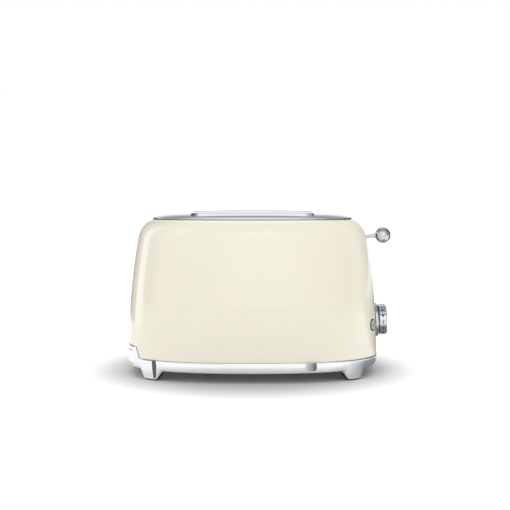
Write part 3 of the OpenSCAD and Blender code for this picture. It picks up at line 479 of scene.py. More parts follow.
# Body: rings of the outline up to the rim, a rolled edge and a ledge, with holes for the controls
def makeBody():
    form = bodyForm
    turns = walkOutline(form["halfLength"], form["halfDepth"], lambda x, y: stepAt(x, y, form))
    unitX, unitY = unitOutline(turns)
    rise = rimTurn * np.linspace(0, 1, 30)
    shoulder = endStart + form["endHeight"] * np.sin(rise) ** (2 / form["shoulderPower"])
    # the rings lie closer at the dial, at both ends of the slot and over the shoulder
    heights = np.unique(np.round(np.r_[
        np.linspace(52, 56, 3), np.arange(56, 71.2, 0.55), np.linspace(74, 98, 6), np.arange(98.6, 102.8, 0.7),
        np.linspace(106, 162, 11), np.arange(165.0, 177.6, 1.4), shoulder[7:]], 4))
    heights = heights[np.r_[np.diff(heights) > 0.12, [True]]]
    lower = panelEdge(unitX, unitY * form["halfDepth"], skirtTop + form["panelGap"], form["panelHalf"],
                      form["panelFlank"], seam + form["seamGap"])
    fill = np.array([0, 0.012, 0.05, 0.12, 0.22, 0.34, 0.48, 0.62, 0.76, 0.89])[:, None]
    z = np.r_[lower + (heights[0] - lower) * fill, np.repeat(heights[:, None], len(turns), 1)]
    turned = np.clip((z - endStart) / form["endHeight"], 0, 1) ** (form["shoulderPower"] / 2)
    arch = form["rimArch"] * (1 - np.minimum(np.abs(unitX), 1) ** 4)
    arched = z + arch * (np.arcsin(turned) / rimTurn) ** 2
    wall = np.stack([halfLength(z) * unitX, halfDepth(z) * unitY, arched], -1)
    lean = math.radians(form["rollTilt"])
    roll = np.linspace(-lean, math.pi / 2, 8)[1:]
    inset = form["roll"] * (np.sin(roll) + math.sin(lean))
    inset = np.r_[inset, inset[-1] + form["ledgeWidth"] * np.array([0, 0, 0.08, 1.0])][:, None]
    drop = form["roll"] * (math.cos(lean) - np.cos(roll))
    drop = np.r_[drop, form["ledgeDepth"] - np.array([0.4, 0.06, 0, 0])][:, None]
    edge = np.stack([(rimA - inset) * unitX, (rimB - inset) * unitY, rimHeight + arch - drop], -1)
    points = np.r_[wall, edge]
    x, y, z = cellMiddles(points)
    half, normal = leverForm["width"] / 2, facePlace(buttonForm["side"], dialForm["height"])[3]
    slant = math.cos(math.atan2(normal[1], normal[0]))
    inSlot = np.hypot(y, z - np.clip(z, slotLow + half, slotHigh - half)) < form["slotHole"]
    inDial = np.hypot(y, z - dialForm["height"]) < form["dialHole"]
    inButton = np.hypot((np.abs(y) - buttonForm["side"]) / slant, z - dialForm["height"]) < form["buttonHole"]
    keep = ~((x > 0) & (inSlot | inDial | inButton))
    makePiece("bodyShell", [sheet(points, around=True, keep=keep)], creamEnamel, "housing",
              ["body_shell"], wall=form["wall"])


makeBody()
print("body pressed")

plateForm = {"crown": 4.5, "crownPower": 6.5, "fall": 0.7, "inset": 1.3, "edge": 0.6, "skirt": 3.0,
             "slotLength": 148.0, "slotWidth": 36.0, "slotCorner": 9.0, "slotSide": 29.0,
             "slotLip": 2.4, "flange": 8.0, "hemTurn": 0.86, "hemDepth": 1.5, "wall": 0.8}


# Halves the span from nothing to furthest until held(reach) changes there, for each item of shape
def searchReach(held, shape, furthest, steps):
    near, far = np.zeros(shape), np.full(shape, furthest)
    for _ in range(steps):
        reach = (near + far) / 2
        inside = held(reach)
        near, far = np.where(inside, reach, near), np.where(inside, far, reach)
    return (near + far) / 2


# Height of the plate: flat in the middle and falling with the outline's share to the power 6.5
def plateHeight(x, y):
    form = plateForm
    a, b = rimA - form["inset"], rimB - form["inset"]
    share = searchReach(lambda size: outlineSum(x / (a * size), y / (b * size)) > 1, x.shape, 1.2, 33)
    return plateTop - form["crown"] * share ** form["crownPower"] - form["fall"] * (np.abs(x) / rimA) ** 4


# Top plate: rays from the middle of each slot carry it from the slot's rounded edge to the outline
def makePlate():
    form = plateForm
    side, corner, lip, edge = form["slotSide"], form["slotCorner"], form["slotLip"], form["edge"]
    halfX, halfY = form["slotLength"] / 2, form["slotWidth"] / 2
    outA, outB = rimA - form["inset"] - edge, rimB - form["inset"] - edge

    # how far a place is from the inside of a slot's rounded corners
    def slotGap(x, y):
        overX, overY = np.abs(x) - (halfX - corner), np.abs(y + side) - (halfY - corner)
        return np.hypot(np.maximum(overX, 0), np.maximum(overY, 0)) + np.minimum(np.maximum(overX, overY), 0)

    # how far each ray goes from the middle of the front slot while inside(x, y) holds
    def reachOf(inside):
        return searchReach(lambda reach: inside(reach * rays[:, 0], reach * rays[:, 1] - side),
                           len(rays), 260.0, 46)

    # the front half and its mirror image
    def bothHalves(points, **how):
        return [sheet(points, flip=True, **how), sheet(points * [1, -1, 1], **how)]

    arc = np.linspace(0, np.pi / 2, 11)
    loopX = np.r_[np.linspace(0, halfX - corner, 40), halfX - corner + corner * np.sin(arc), [halfX] * 3]
    loopY = np.r_[np.full(40, halfY), halfY - corner + corner * np.cos(arc), [6.0, 3.0, 0.0]]
    quarter = np.arctan2(loopY, loopX)
    ends = [math.atan2(side, outA), math.atan2(side, -outA)]  # where the halves' shared line meets the outline
    angles = np.r_[quarter, -quarter, np.pi - quarter, quarter - np.pi, ends]
    angles = np.unique(np.round(np.mod(angles, 2 * np.pi), 7))
    for end in ends:
        angles[np.abs(angles - end).argmin()] = end
    rays = np.stack([np.cos(angles), np.sin(angles)], -1)
    # the slot's lip: a small round at the top, a flared flank, then straight down
    grow = lip * np.array([0, 0.012, 0.05, 0.17, 0.33, 0.5, 0.645, 0.69, 0.77, 0.875, 1.0])
    sunk = lip * np.array([2.17, 2.0, 1.83, 1.54, 1.12, 0.71, 0.34, 0.24, 0.125, 0.038, 0])
    reaches = [reachOf(lambda x, y: slotGap(x, y) < corner + g) for g in grow]
    outer = reachOf(lambda x, y: (outlineSum(x / outA, y / outB) < 1) & (y < 0))
    share = 1 - (1 - np.linspace(0, 1, 40)[1:]) ** 1.5
    reaches = reaches[:1] * 3 + reaches + [reaches[-1] + (outer - reaches[-1]) * s for s in share]
    sunk = np.r_[[form["flange"], form["flange"] - 0.4, sunk[0] + 1], sunk, 0 * share]
    x, y = np.stack(reaches) * rays[:, 0], np.stack(reaches) * rays[:, 1] - side
    y = np.where(np.abs(y) < 1e-6, 0.0, y)
    half = np.stack([x, y, plateHeight(x, y) - sunk[:, None]], -1)
    rim = half[-1][half[-1][:, 1] <= 0]
    rim = rim[np.abs(outlineSum(rim[:, 0] / outA, rim[:, 1] / outB) - 1) < 1e-5]
    rim = rim[np.argsort(np.arctan2(rim[:, 1], rim[:, 0]))]
    # the edge rolls under before it goes down to the ledge
    turn = np.linspace(0, np.pi * form["hemTurn"], 11)
    tucked = edge * (1 - math.sin(turn[-1]))
    inset = np.r_[edge * (1 - np.sin(turn)), tucked + np.array([0.15, 0.2, 0.2])][:, None]
    drop = np.r_[edge * (1 - np.cos(turn)), [form["hemDepth"], form["skirt"] - 0.4, form["skirt"]]]
    edgeX = (rimA - form["inset"] - inset) * rim[:, 0] / outA
    edgeY = (rimB - form["inset"] - inset) * rim[:, 1] / outB
    band = np.stack([edgeX, np.where(np.abs(edgeY) < 1e-6, 0.0, edgeY),
                     plateHeight(rim[:, 0], rim[:, 1]) - drop[:, None]], -1)
    makePiece("topPlate", bothHalves(half, around=True) + bothHalves(band[:len(turn) + 1]), polishedSteel,
              "housing", ["top_plate"], wall=form["wall"])
    # painted shade of the gap under the plate: a black band that shows where the rim drops away at the ends
    makePiece("plateGapShade", bothHalves(band[len(turn):]), blackRubber, "housing",
              wall=form["wall"])


makePlate()
print("plate pressed")

baseForm = {"bottom": 11.6, "roll": 7.0, "proud": 0.6, "legX": 126.0, "legBottom": 1.6, "legTuck": 2.3,
            "panelTop": skirtTop, "panelHalf": 56.3, "panelFlank": 6.3, "openHalf": 51.0,
            "openLow": 16.0, "openHigh": 33.5, "wall": 0.8, "lipInset": 1.9, "lipWall": 1.5, "lipHeight": 6.0,
            "bossX": 60.0, "bossY": 79.9, "bossRadius": 4.5, "boreRadius": 1.42, "bossLow": 15, "bossHigh": 25,
            "legZone": 21, "legStep": 0.55, "step": 3.2, "zones": [(-1, 59, 6, 0.8), (-1, 51, 1.5, 0.4)]}
legFlank = np.array([[7.2, 1.6], [13.4, 1.6], [11.0, 11.6], [18.8, 11.6]])  # half width and height

baseHalfX, baseHalfY = bodyForm["halfLength"] + baseForm["proud"], bodyForm["halfDepth"] + baseForm["proud"]
legX = baseForm["legX"]
legY = baseHalfY * (1 - (legX / baseHalfX) ** powerX) ** (1 / powerY)
legTurn = outlineTurn(baseHalfX, baseHalfY, legX, legY)


# The S-shaped flank of a leg: a Bezier curve of half width and height, from the bottom up
def flankCurve(steps):
    t = np.linspace(0, 1, steps)[:, None]
    return (1 - t) ** 3 * legFlank[0] + 3 * t * (1 - t) ** 2 * legFlank[1] \
        + 3 * t * t * (1 - t) * legFlank[2] + t ** 3 * legFlank[3]


# Height of the base's lower edge at a distance from the middle of a leg
def lowerEdge(away):
    return np.interp(away, *flankCurve(60).T)


# How far the band is turned in at height z, over a lower edge at height low. Between the legs it rolls
# under by 1 less the cube root of 1 less the share cubed, and down a leg it leans in
def skirtTuck(z, low):
    form = baseForm
    leg = (form["bottom"] - low) / (form["bottom"] - form["legBottom"])
    share = np.clip((seam - z) / (seam - low), 0, 1)
    rolled = form["roll"] * (1 - (1 - share ** 3) ** (1 / 3))
    return (1 - leg) * rolled + leg * form["legTuck"] * share ** 1.6


# Base: a rounded band whose lower edge dips into four legs and whose upper edge rises at the left end
def makeBase():
    form = baseForm
    panelTop, openLow, openHigh = form["panelTop"], form["openLow"], form["openHigh"]

    # distance from the middle of the nearest leg, measured along its face
    def fromLeg(x, y):
        return np.abs((np.abs(y) - legY) * math.cos(legTurn) - (np.abs(x) - legX) * math.sin(legTurn))

    turns = walkOutline(baseHalfX, baseHalfY, lambda x, y: np.where(
        fromLeg(x, y) < form["legZone"], form["legStep"], stepAt(x, y, form)))
    unitX, unitY = unitOutline(turns)
    x, y = baseHalfX * unitX, baseHalfY * unitY
    low = lowerEdge(fromLeg(x, y))
    top = panelEdge(x, y, panelTop, form["panelHalf"], form["panelFlank"], seam)
    # rings from the top down, with two at the heights of the tray's opening
    opening = (panelTop - np.array([openHigh, openLow])) / (panelTop - form["bottom"])
    fill = np.unique(np.r_[[0, 0.008, 0.03, 0.08, 0.13], np.linspace(0.2, 0.8, 11), opening,
                           np.sin(np.linspace(0.9, np.pi / 2, 13)) ** (2 / 3)])[:, None]
    z = top - (top - low) * fill
    inset = skirtTuck(z, low) + 0.45 * np.exp(-(top - z) / 0.35)  # the top edge is turned in a little
    halfX = halfLength(np.maximum(z, seam)) + form["proud"] - inset
    halfY = halfDepth(np.maximum(z, seam)) + form["proud"] - inset
    points = np.stack([halfX * unitX, halfY * unitY, z], -1)
    x, y, z = cellMiddles(points)
    hole = (x < 0) & (np.abs(y) < form["openHalf"]) & (z > openLow) & (z < openHigh)
    makePiece("baseBand", [sheet(points, around=True, keep=~hole, flip=True)], litChrome, "housing",
              ["base_skirt"], wall=form["wall"])

    # the lip that the body stands on, a flat ring, and the four screw bosses
    inset = form["lipInset"] + form["lipWall"] * np.array([0, 0, 1, 1, 0])[:, None]
    height = seam + np.array([-4, form["lipHeight"], form["lipHeight"], -4, -4])[:, None]
    ring = np.stack([(baseHalfX - inset) * unitX, (baseHalfY - inset) * unitY, height + 0 * unitX], -1)
    x, y, z = cellMiddles(ring)
    sheets = [sheet(ring, around=True, keep=(x >= 0) | (np.abs(y) >= form["openHalf"]))]
    outer, bore, bossLow, bossHigh = [form[key] for key in ("bossRadius", "boreRadius", "bossLow", "bossHigh")]
    boss = roundedProfile([[bore, bossLow], [outer, bossLow], [outer, bossHigh], [bore, bossHigh]], [0.3, 0.3])
    boss = np.r_[boss, boss[:1]]
    for x in (-form["bossX"], form["bossX"]):
        for y in (-form["bossY"], form["bossY"]):
            sheets.append(turnedSheet(boss, (np.array([x, y, 0.0]), *np.eye(3)), 28))
    makePiece("baseLip", sheets, litChrome, "housing")


footForm = {"skin": 0.9, "depth": 7.5, "margin": 0.35, "edge": 0.5, "top": 11.5, "middle": 4.0, "shrink": 0.97}


# One rubber foot: the leg's own outline, a little smaller, carried back from the plated face in layers
def makeFoot(x, y, name):
    form = footForm
    skin, deep, edge = form["skin"], form["skin"] + form["depth"], form["edge"]
    flank = flankCurve(24) - [form["margin"], 0]
    half = flank[0, 0]
    flank = np.r_[[[half - 0.9, 0.0], [half - 0.25, 0.3], [half, 0.9]], flank[flank[:, 1] < form["top"]]]
    flank = np.r_[flank, [[flank[-1, 0], form["top"]]]]
    across = np.linspace(-1, 1, 15)[1:-1, None]
    section = np.r_[flank, across * [-flank[-1, 0], 0] + [0, form["top"]], flank[::-1] * [-1, 1],
                    across * [flank[0, 0], 0]]
    turn = np.linspace(0.02, np.pi / 2 - 0.02, 1200)
    unitX, unitY = unitOutline(turn)
    middle, shrink = np.array([0.0, form["middle"]]), form["shrink"]
    rows = []
    for depth, size in ((skin, 0.0), (skin, shrink), (skin + edge, 1.0), (skin + form["depth"] / 2, 1.0),
                        (deep - edge, 1.0), (deep, shrink), (deep, 0.0)):
        u, z = ((section - middle) * size + middle).T
        tuck = skirtTuck(z, lowerEdge(np.abs(u) + form["margin"])) + depth
        # the angle at which the leg's face is as far from its middle as each point of the section
        along = ((baseHalfX - tuck[:, None]) * unitX - legX) * math.sin(legTurn) \
            - ((baseHalfY - tuck[:, None]) * unitY - legY) * math.cos(legTurn)
        at = np.array([np.interp(-want, -line, turn) for want, line in zip(u, along)])
        atX, atY = unitOutline(at)
        rows.append(np.stack([x * (baseHalfX - tuck) * atX, y * (baseHalfY - tuck) * atY, z], -1))
    makePiece(name + "Foot", [sheet(np.stack(rows), around=True, flip=x * y < 0)], blackRubber, "housing",
              ["foot_" + name])


makeBase()
for x, xName in ((-1, "left"), (1, "right")):
    for y, yName in ((-1, "front"), (1, "rear")):
        makeFoot(x, y, yName + "_" + xName)
print("base plated")

trayForm = {"halfWidth": 50.5, "low": 16.5, "high": 33.0, "depth": 14.0, "edge": 0.9,
            "scoopRadius": 10.0, "scoopOut": 3.0, "scoopHeight": 20.5, "scoopHalf": 22.0, "scoopEase": 5}


# Crumb tray's front: a closed section carried across the left end, with a scoop for the fingers
def makeTrayFront():
    form = trayForm
    edge, low, high, width, deep = form["edge"], form["low"], form["high"], form["halfWidth"], form["depth"]
    inner = np.linspace(-1, 1, 61) * (form["scoopHalf"] + 3)
    outer = np.linspace(form["scoopHalf"] + 4, width - 1.2, 10)
    ends = width - edge * (1 - np.sin(np.linspace(0, np.pi / 2, 6)))
    y = np.r_[-ends[::-1], -outer[::-1], inner, outer, ends]
    past = (np.abs(y) - width + edge).clip(0) / edge
    shrink = edge * (1 - np.sqrt(np.clip(1 - past ** 2, 0, 1)))
    bow = np.linspace(0, np.pi / 2, 5)
    front = np.linspace(low + edge, high - edge, 30)[1:-1]
    # offsets back from the face, and heights, round the section
    back = np.r_[edge * (1 - np.sin(bow)), 0 * front, edge * (1 - np.cos(bow)),
                 [deep - 0.4, deep, deep, deep - 0.4]][:, None] + 0 * y
    z = np.r_[low + edge * (1 - np.cos(bow)), front, high - edge * (1 - np.sin(bow)),
              [high, high - 0.4, low + 0.4, low]][:, None] + 0 * y
    half, depth = halfLength(z) + baseForm["proud"], halfDepth(z) + baseForm["proud"]
    face = skirtTuck(z, baseForm["bottom"]) - outlineX(half, depth, y)
    scoop = np.sqrt(np.clip(form["scoopRadius"] ** 2 - (z - form["scoopHeight"]) ** 2, 0, None)) \
        - baseHalfX - form["scoopOut"]
    inScoop = ease((form["scoopHalf"] + 1.5 - np.abs(y)) / form["scoopEase"])
    face = face + inScoop * np.clip(scoop - face, 0, None)
    x = np.where(back < deep - 1, face + back + shrink, back - baseHalfX - 0.4)
    points = np.stack([x, y + 0 * z, z + shrink * np.where(z > (low + high) / 2, -1, 1)], -1)
    points = np.r_[points, points[:1]]
    sheets = [sheet(points, flip=True)]
    for column, flip in ((-1, True), (0, False)):  # a cap closes each end
        rim = points[:, column]
        sheets.append(sheet(np.stack([rim, rim.mean(0) + 0 * rim], 1), flip=flip))
    makePiece("trayFront", sheets, litChrome, "tray", ["tray_front"])


makeTrayFront()
print("tray front plated")


# A stadium of black trim in the body's face: a section of (reach, height) carried round the slot
def makeTrim():
    section = np.array([[0, -2.6], [0, 0.1], [0.1, 0.42], [0.4, 0.6], [1.1, 0.6], [1.5, 0.45], [1.76, 0.12],
                        [1.8, -0.2], [1.8, -0.9], [0.7, -2.6], [0, -2.6]])
    half = leverForm["width"] / 2
    arc = np.linspace(0, np.pi, 19)
    rise = np.linspace(slotLow + half, slotHigh - half, 34)
    normalY = np.r_[np.ones(33), np.cos(arc), -np.ones(32), -np.cos(arc)[:-1]]
    normalZ = np.r_[np.zeros(33), np.sin(arc), np.zeros(32), -np.sin(arc)[:-1]]
    coreZ = np.r_[rise[:-1], np.full(19, rise[-1]), rise[-2:0:-1], np.full(18, rise[0])]
    y, z = normalY * (half + section[:, :1]), coreZ + normalZ * (half + section[:, :1])
    makePiece("leverSlotTrim", [sheet(np.stack([faceX(y, z) + section[:, 1:], y, z], -1), around=True)],
              blackNylon, "housing", ["lever_slot_trim"])


# Lever: a ball with a collar, on a turned stem that leans up out of the slot
def makeLever():
    form = leverForm
    radius, thin, neck, collar = form["ballRadius"], form["stemRadius"], form["neck"], form["collar"]
    inward = np.array([-math.cos(leverTilt), 0.0, -math.sin(leverTilt)])
    across, along = np.array([math.sin(leverTilt), 0.0, -math.cos(leverTilt)]), np.array([0.0, 1.0, 0.0])
    place = (ballCentre, across, along, inward)
    turn = np.linspace(0, math.pi - math.asin(neck / radius), 54)
    ball = np.stack([radius * np.sin(turn), -radius * np.cos(turn)], -1)
    sleeve = roundedProfile([ball[-1], [neck, radius + 0.5], [collar, radius + 0.9], [collar, radius - 4]],
                            [0.2, 0.2])
    makePiece("leverBall", [turnedSheet(np.r_[ball, sleeve[1:]], place, 96)], shadedChrome,
              "carriage", ["lever_ball"])
    length = (ballCentre[0] - stemEnd) / math.cos(leverTilt) - 0.2
    stem = roundedProfile([[0, radius - 6], [thin - 0.1, radius - 6], [thin, radius + 4], [thin, length],
                           [0, length]], [0.2, 0.2, 0.3])
    makePiece("leverStem", [turnedSheet(stem, place, 48)], shadedChrome, "carriage", ["lever_stem"])


makeTrim()
makeLever()
print("lever fitted")


# Bezel: a flat ring round the dial's hole with a raised rim
def makeBezel(place):
    radius, thick = dialForm["bezel"], dialForm["bezelThick"]
    section = roundedProfile([[3.6, -7.8], [7.7, -7.8], [7.7, 0.15], [radius - 0.5, 0.15], [radius, 0.5],
                              [radius, 2.1], [radius - 0.55, 2.35], [radius - 0.55, thick - 0.5],
                              [radius - 1.1, thick], [radius - 2.6, thick], [radius - 3.1, thick - 0.3],
                              [3.6, thick - 0.3], [3.6, -7.8]],
                             [0.1, 0.3, 0.05, 0.25, 0.3, 0.12, 0.12, 0.3, 0.3, 0.2, 0.15])
    makePiece("dialBezel", [turnedSheet(section, place, 144)], shadedChrome, "housing",
              ["dial_bezel"])


# The knob's face: straight columns across a disc. A bar crosses it at full height between two dished
# halves, each with a rim left round it, and a groove runs down the edge at both sides of the bar's ends
def makeKnob(place):
    form = dialForm
    centre, down, back, axis = place
    turn = math.radians(form["gripTurn"])
    across = math.cos(turn) * down + math.sin(turn) * back
    along = -math.sin(turn) * down + math.cos(turn) * back
    radius, grip, groove = form["radius"], form["grip"] / 2, form["groove"]
    start = form["bezelThick"] + form["gap"]
    face = start + form["depth"] - form["gripRise"]
    edges = grip + np.r_[[-0.5, -0.2, 0, 0.05], groove + np.array([-0.05, 0, 0.4, 0.8, 1.3, 2.0])]
    spread = radius * np.sin(np.linspace(-np.pi / 2, np.pi / 2, 97))
    x = np.unique(np.round(np.r_[spread, edges, -edges], 4))
    chord = np.sqrt(np.clip(radius ** 2 - x ** 2, 0, None))

    def settle(points):
        return centre + points[..., :1] * across + points[..., 1:2] * along + points[..., 2:] * axis

    ends = np.array([0, 0.012, 0.03, 0.05, 0.07, 0.09, 0.11, 0.13, 0.16, 0.19, 0.22, 0.26])
    t = np.r_[-1 + ends, np.linspace(-0.7, 0.7, 19), (1 - ends)[::-1]][:, None]
    px, py = x + 0 * t, t * chord
    out, away = np.abs(px), radius - np.hypot(px, py)
    dish = form["dish"] * ease((out - grip - 0.1) / 2.4) * ease((away - form["rim"]) / 2.4)
    bar = form["gripRise"] * (1 - ease((out - grip + 0.5) / 0.5))
    pz = face + bar - dish - np.clip(1.1 - away, 0, None) ** 1.6 * 0.75
    loopX, loopY, topZ = [np.r_[first, last[-2:0:-1]]
                          for first, last in ((x, x), (-chord, chord), (pz[0], pz[-1]))]
    drop = np.array([0, 0.02, 0.05, 0.12, 0.3, 0.5, 0.7, 0.86, 0.95, 0.985, 1.0])[:, None]
    inGroove = (np.abs(np.abs(loopX) - grip - groove / 2) < groove / 2 - 0.02) & (np.abs(loopY) > radius * 0.7)
    inward = 1 - np.where(inGroove, form["grooveDepth"] / radius, 0) * np.clip(drop / 0.05, 0, 1)
    inward = inward * (1 - 0.004 * drop - 0.02 * np.clip((drop - 0.94) / 0.06, 0, None))
    wall = np.stack([loopX * inward, loopY * inward, topZ + (start - topZ) * drop], -1)
    base = np.stack([wall[-1], wall[-1] * [0, 0, 1]])
    sheets = [sheet(settle(np.stack([px, py, pz], -1))), sheet(settle(wall), around=True, flip=True),
              sheet(settle(base), around=True, flip=True)]
    makePiece("dialKnob", sheets, shadedChrome, "dial", ["browning_dial"], edge=30)

    # painted shade: a short black neck showing as the gap between knob and bezel, and a black bar in each
    # groove
    low, high, core = form["bezelThick"] - 0.2, start + 0.3, form["core"]
    neck = roundedProfile([[4, low], [core, low], [core, high], [4, high], [4, low]], [0.1, 0.1, 0.1])
    sheets = [turnedSheet(neck, place, 96)]
    for sideX in (-1, 1):
        for sideY in (-1, 1):
            u = sideX * (grip + np.array([0.06, groove - 0.06, groove - 0.06, 0.06]))
            v = sideY * (np.sqrt(radius ** 2 - u ** 2) - [0.45, 0.45, form["grooveDepth"] + 0.3,
                                                          form["grooveDepth"] + 0.3])
            foot, lid = [np.stack([u, v, np.full(4, z)], -1) for z in (start, face - 0.9)]
            bar = np.stack([foot.mean(0) + 0 * foot, foot, lid, lid.mean(0) + 0 * lid])
            sheets.append(sheet(settle(bar), around=True, flip=sideX * sideY > 0))
    makePiece("dialShadeCore", sheets, blackNylon, "dial")
    return across, along


# A figure as flat (x, y) points with its faces, cut across every half millimetre so that it can bend
def figureShape(figure, size):
    text = bpy.data.curves.new("figure", "FONT")
    text.body, text.size, text.resolution_u = figure, size, 3
    text.align_x, text.align_y = "CENTER", "CENTER"
    holder = addObject("figure", text)
    shape = finishedMesh(holder)
    cut = bmesh.new()
    cut.from_mesh(shape)
    for level in np.arange(-4, 4.01, 0.5):
        bmesh.ops.bisect_plane(cut, geom=cut.verts[:] + cut.edges[:] + cut.faces[:],
                               plane_co=(0, float(level), 0), plane_no=(0, 1, 0))
    cut.to_mesh(shape)
    cut.free()
    flat = np.array([vertex.co[:2] for vertex in shape.vertices])
    polygons = [list(polygon.vertices) for polygon in shape.polygons]
    bpy.data.objects.remove(holder)
    bpy.data.meshes.remove(shape)
    return flat - (flat.max(0) + flat.min(0)) / 2, polygons


marksForm = {"pitch": 24.0, "lift": 0.05, "figure": 5.6, "dot": 1.35, "height": 9.6}


# Figures 1 to 6 and dots round the knob's edge, from the end of the grip that points forwards
def makeMarks(place, across, along):
    form = marksForm
    centre, axis = place[0], place[3]
    radius = dialForm["radius"] + form["lift"]
    middle = 0.0 if along[1] < 0 else math.pi
    # which way round leads downwards from there
    ahead = math.cos(middle + 0.1) * along + math.sin(middle + 0.1) * across
    down = 1.0 if ahead[2] < math.cos(middle) * along[2] else -1.0
    ring = np.linspace(0, 2 * np.pi, 20, endpoint=False)
    dot = np.r_[[[0, 0]], form["dot"] * np.stack([np.cos(ring), np.sin(ring)], -1)]
    dotFaces = [[0, i + 1, (i + 1) % 20 + 1] for i in range(20)]
    clouds, faces, start = [], [], 0
    for step in range(13):
        flat, polygons = dot, dotFaces
        if step and step % 2 == 0:
            flat, polygons = figureShape(str(step // 2), form["figure"] * 1.4)  # 1.4 figures make a font's size
            flat = np.stack([-down * flat[:, 1], flat[:, 0]], -1)
        # x bends round the edge and y runs along its axis
        angle = (middle + down * math.radians(form["pitch"] * step) + flat[:, 0] / radius)[:, None]
        height = (form["height"] + flat[:, 1])[:, None]
        clouds.append(centre + radius * (np.cos(angle) * along + np.sin(angle) * across) + height * axis)
        faces += [[start + i for i in polygon] for polygon in polygons]
        start += len(flat)
    mesh = bpy.data.meshes.new("dialMarks")
    mesh.from_pydata((np.concatenate(clouds) * 0.001).tolist(), [], faces)
    mesh.materials.append(printInk)
    piece = addObject("dialMarks", mesh)
    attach(piece, "dial")


dialPlace = facePlace(0.0, dialForm["height"])
makeBezel(dialPlace)
makeMarks(dialPlace, *makeKnob(dialPlace))
print("dial fitted")


# Ribbons along paths of (x, y) points, laid flat on the cap at one height
def signSheets(paths, width, height, place):
    centre, down, back, axis = place
    sheets = []
    for path in paths:
        run = np.gradient(path, axis=0)
        side = np.stack([-run[:, 1], run[:, 0]], -1)
        side = side / np.linalg.norm(side, axis=1, keepdims=True) * width / 2
        flat = np.stack([path - side, path + side])
        sheets.append(sheet(centre + flat[..., :1] * back - flat[..., 1:] * down + height * axis))
    return sheets


# A button: a black ring, a cap with a dished face, and a generic sign on it
def makeButton(side, name, node, ring, paths):
    form = buttonForm
    place = facePlace(side, dialForm["height"])
    r, cap, top, bore = form["ring"], form["cap"], form["proud"], form["cap"] + form["gap"]
    sleeve = bore + 0.7
    section = roundedProfile([[bore, -4.8], [sleeve, -4.8], [sleeve, -0.9], [r, -0.9], [r, top - 0.6],
                              [r - 0.15, top - 0.35], [r - 0.6, top - 0.25], [bore + 0.1, top - 0.25],
                              [bore, top - 0.5], [bore, -4.8]],
                             [0.1, 0.02, 0.02, 0.05, 0.12, 0.2, 0.05, 0.05])
    makePiece(name + "Ring", [turnedSheet(section, place, 72)], blackNylon, "housing", [ring])
    dish = np.linspace(1, 0, 9)
    face = np.stack([dish * (cap - 0.75), top - 0.25 * (1 - dish ** 2)], -1)
    outline = roundedProfile([[0, -16], [1.8, -16], [1.8, -3], [cap, -3], [cap, top - 0.45], [cap - 0.35, top],
                              face[0]], [0.2, 0.1, 0.2, 0.2, 0.15])
    makePiece(name + "Cap", [turnedSheet(np.r_[outline, face[1:]], place, 72)], greyAbs, node,
              [node])
    makePiece(name + "Sign", signSheets(paths, form["signLine"], top + 0.03, place), printInk, node)


# Three crossed lines for frost, and three waves for heat
frost = [np.outer(np.linspace(-1, 1, 9), [math.sin(turn), math.cos(turn)]) * buttonForm["frost"]
         for turn in np.radians([0, 60, 120])]
wave = np.linspace(-1, 1, 25) * buttonForm["heat"]
heat = [np.stack([wave, 0.55 * np.sin(wave * 2.1) + offset], -1) for offset in (-1.7, 0.0, 1.7)]
makeButton(-buttonForm["side"], "defrost", "defrost_button", "button_ring_front", frost)
makeButton(buttonForm["side"], "reheat", "reheat_button", "button_ring_rear", heat)
print("buttons fitted")

# Finishes for the pieces that keep their own shape
finishBySlot = {"cream_enamel": creamEnamel, "satin_steel": polishedSteel, "chrome": litChrome,
                "black_rubber": blackRubber, "galvanised_steel": galvanisedSteel, "bright_steel": brightSteel,
                "screw_steel": zincSteel, "bronze": sinteredBronze, "mica": micaBoard,
                "heater_alloy": heaterAlloy, "copper_winding": copperWinding,
                "white_thermoplastic": whiteThermoplastic, "black_plastic": blackNylon,
                "circuit_board": circuitBoard, "grey_button": greyAbs}
for part in frame["record"]["subparts"]:
    node = frame["nodes"][part["node"]]
    finish = finishBySlot[part["material_slot"]]
    if not node.material_slots:
        node.data.materials.append(finish)
    for holder in node.material_slots:
        holder.material = finish
print("inner parts finished")

# ground and glow go by shares of the oval, front, beyond and both bands by y, side by x, and patch by the
# distance from beside: from, to, and the levels there where they are not 0 and 1
floorLook = {"span": 6.0, "oval": (0.262, 0.245), "ground": (0.46, 0.76), "shadowTones": (0.55, 0.88),
             "glow": (0.64, 1.0, 0, 0.36), "front": (-0.26, -0.16, 0, 0.2), "beyond": (-0.5, -1.1, 0, 0.1),
             "band": (0.03, 0.13), "farBand": (1.6, 0.7), "side": (-0.1, 0.0), "beside": (0.185, -0.01, 0.0),
             "patch": (0.12, 0.05, 0, 0.8), "dark": 0.11}


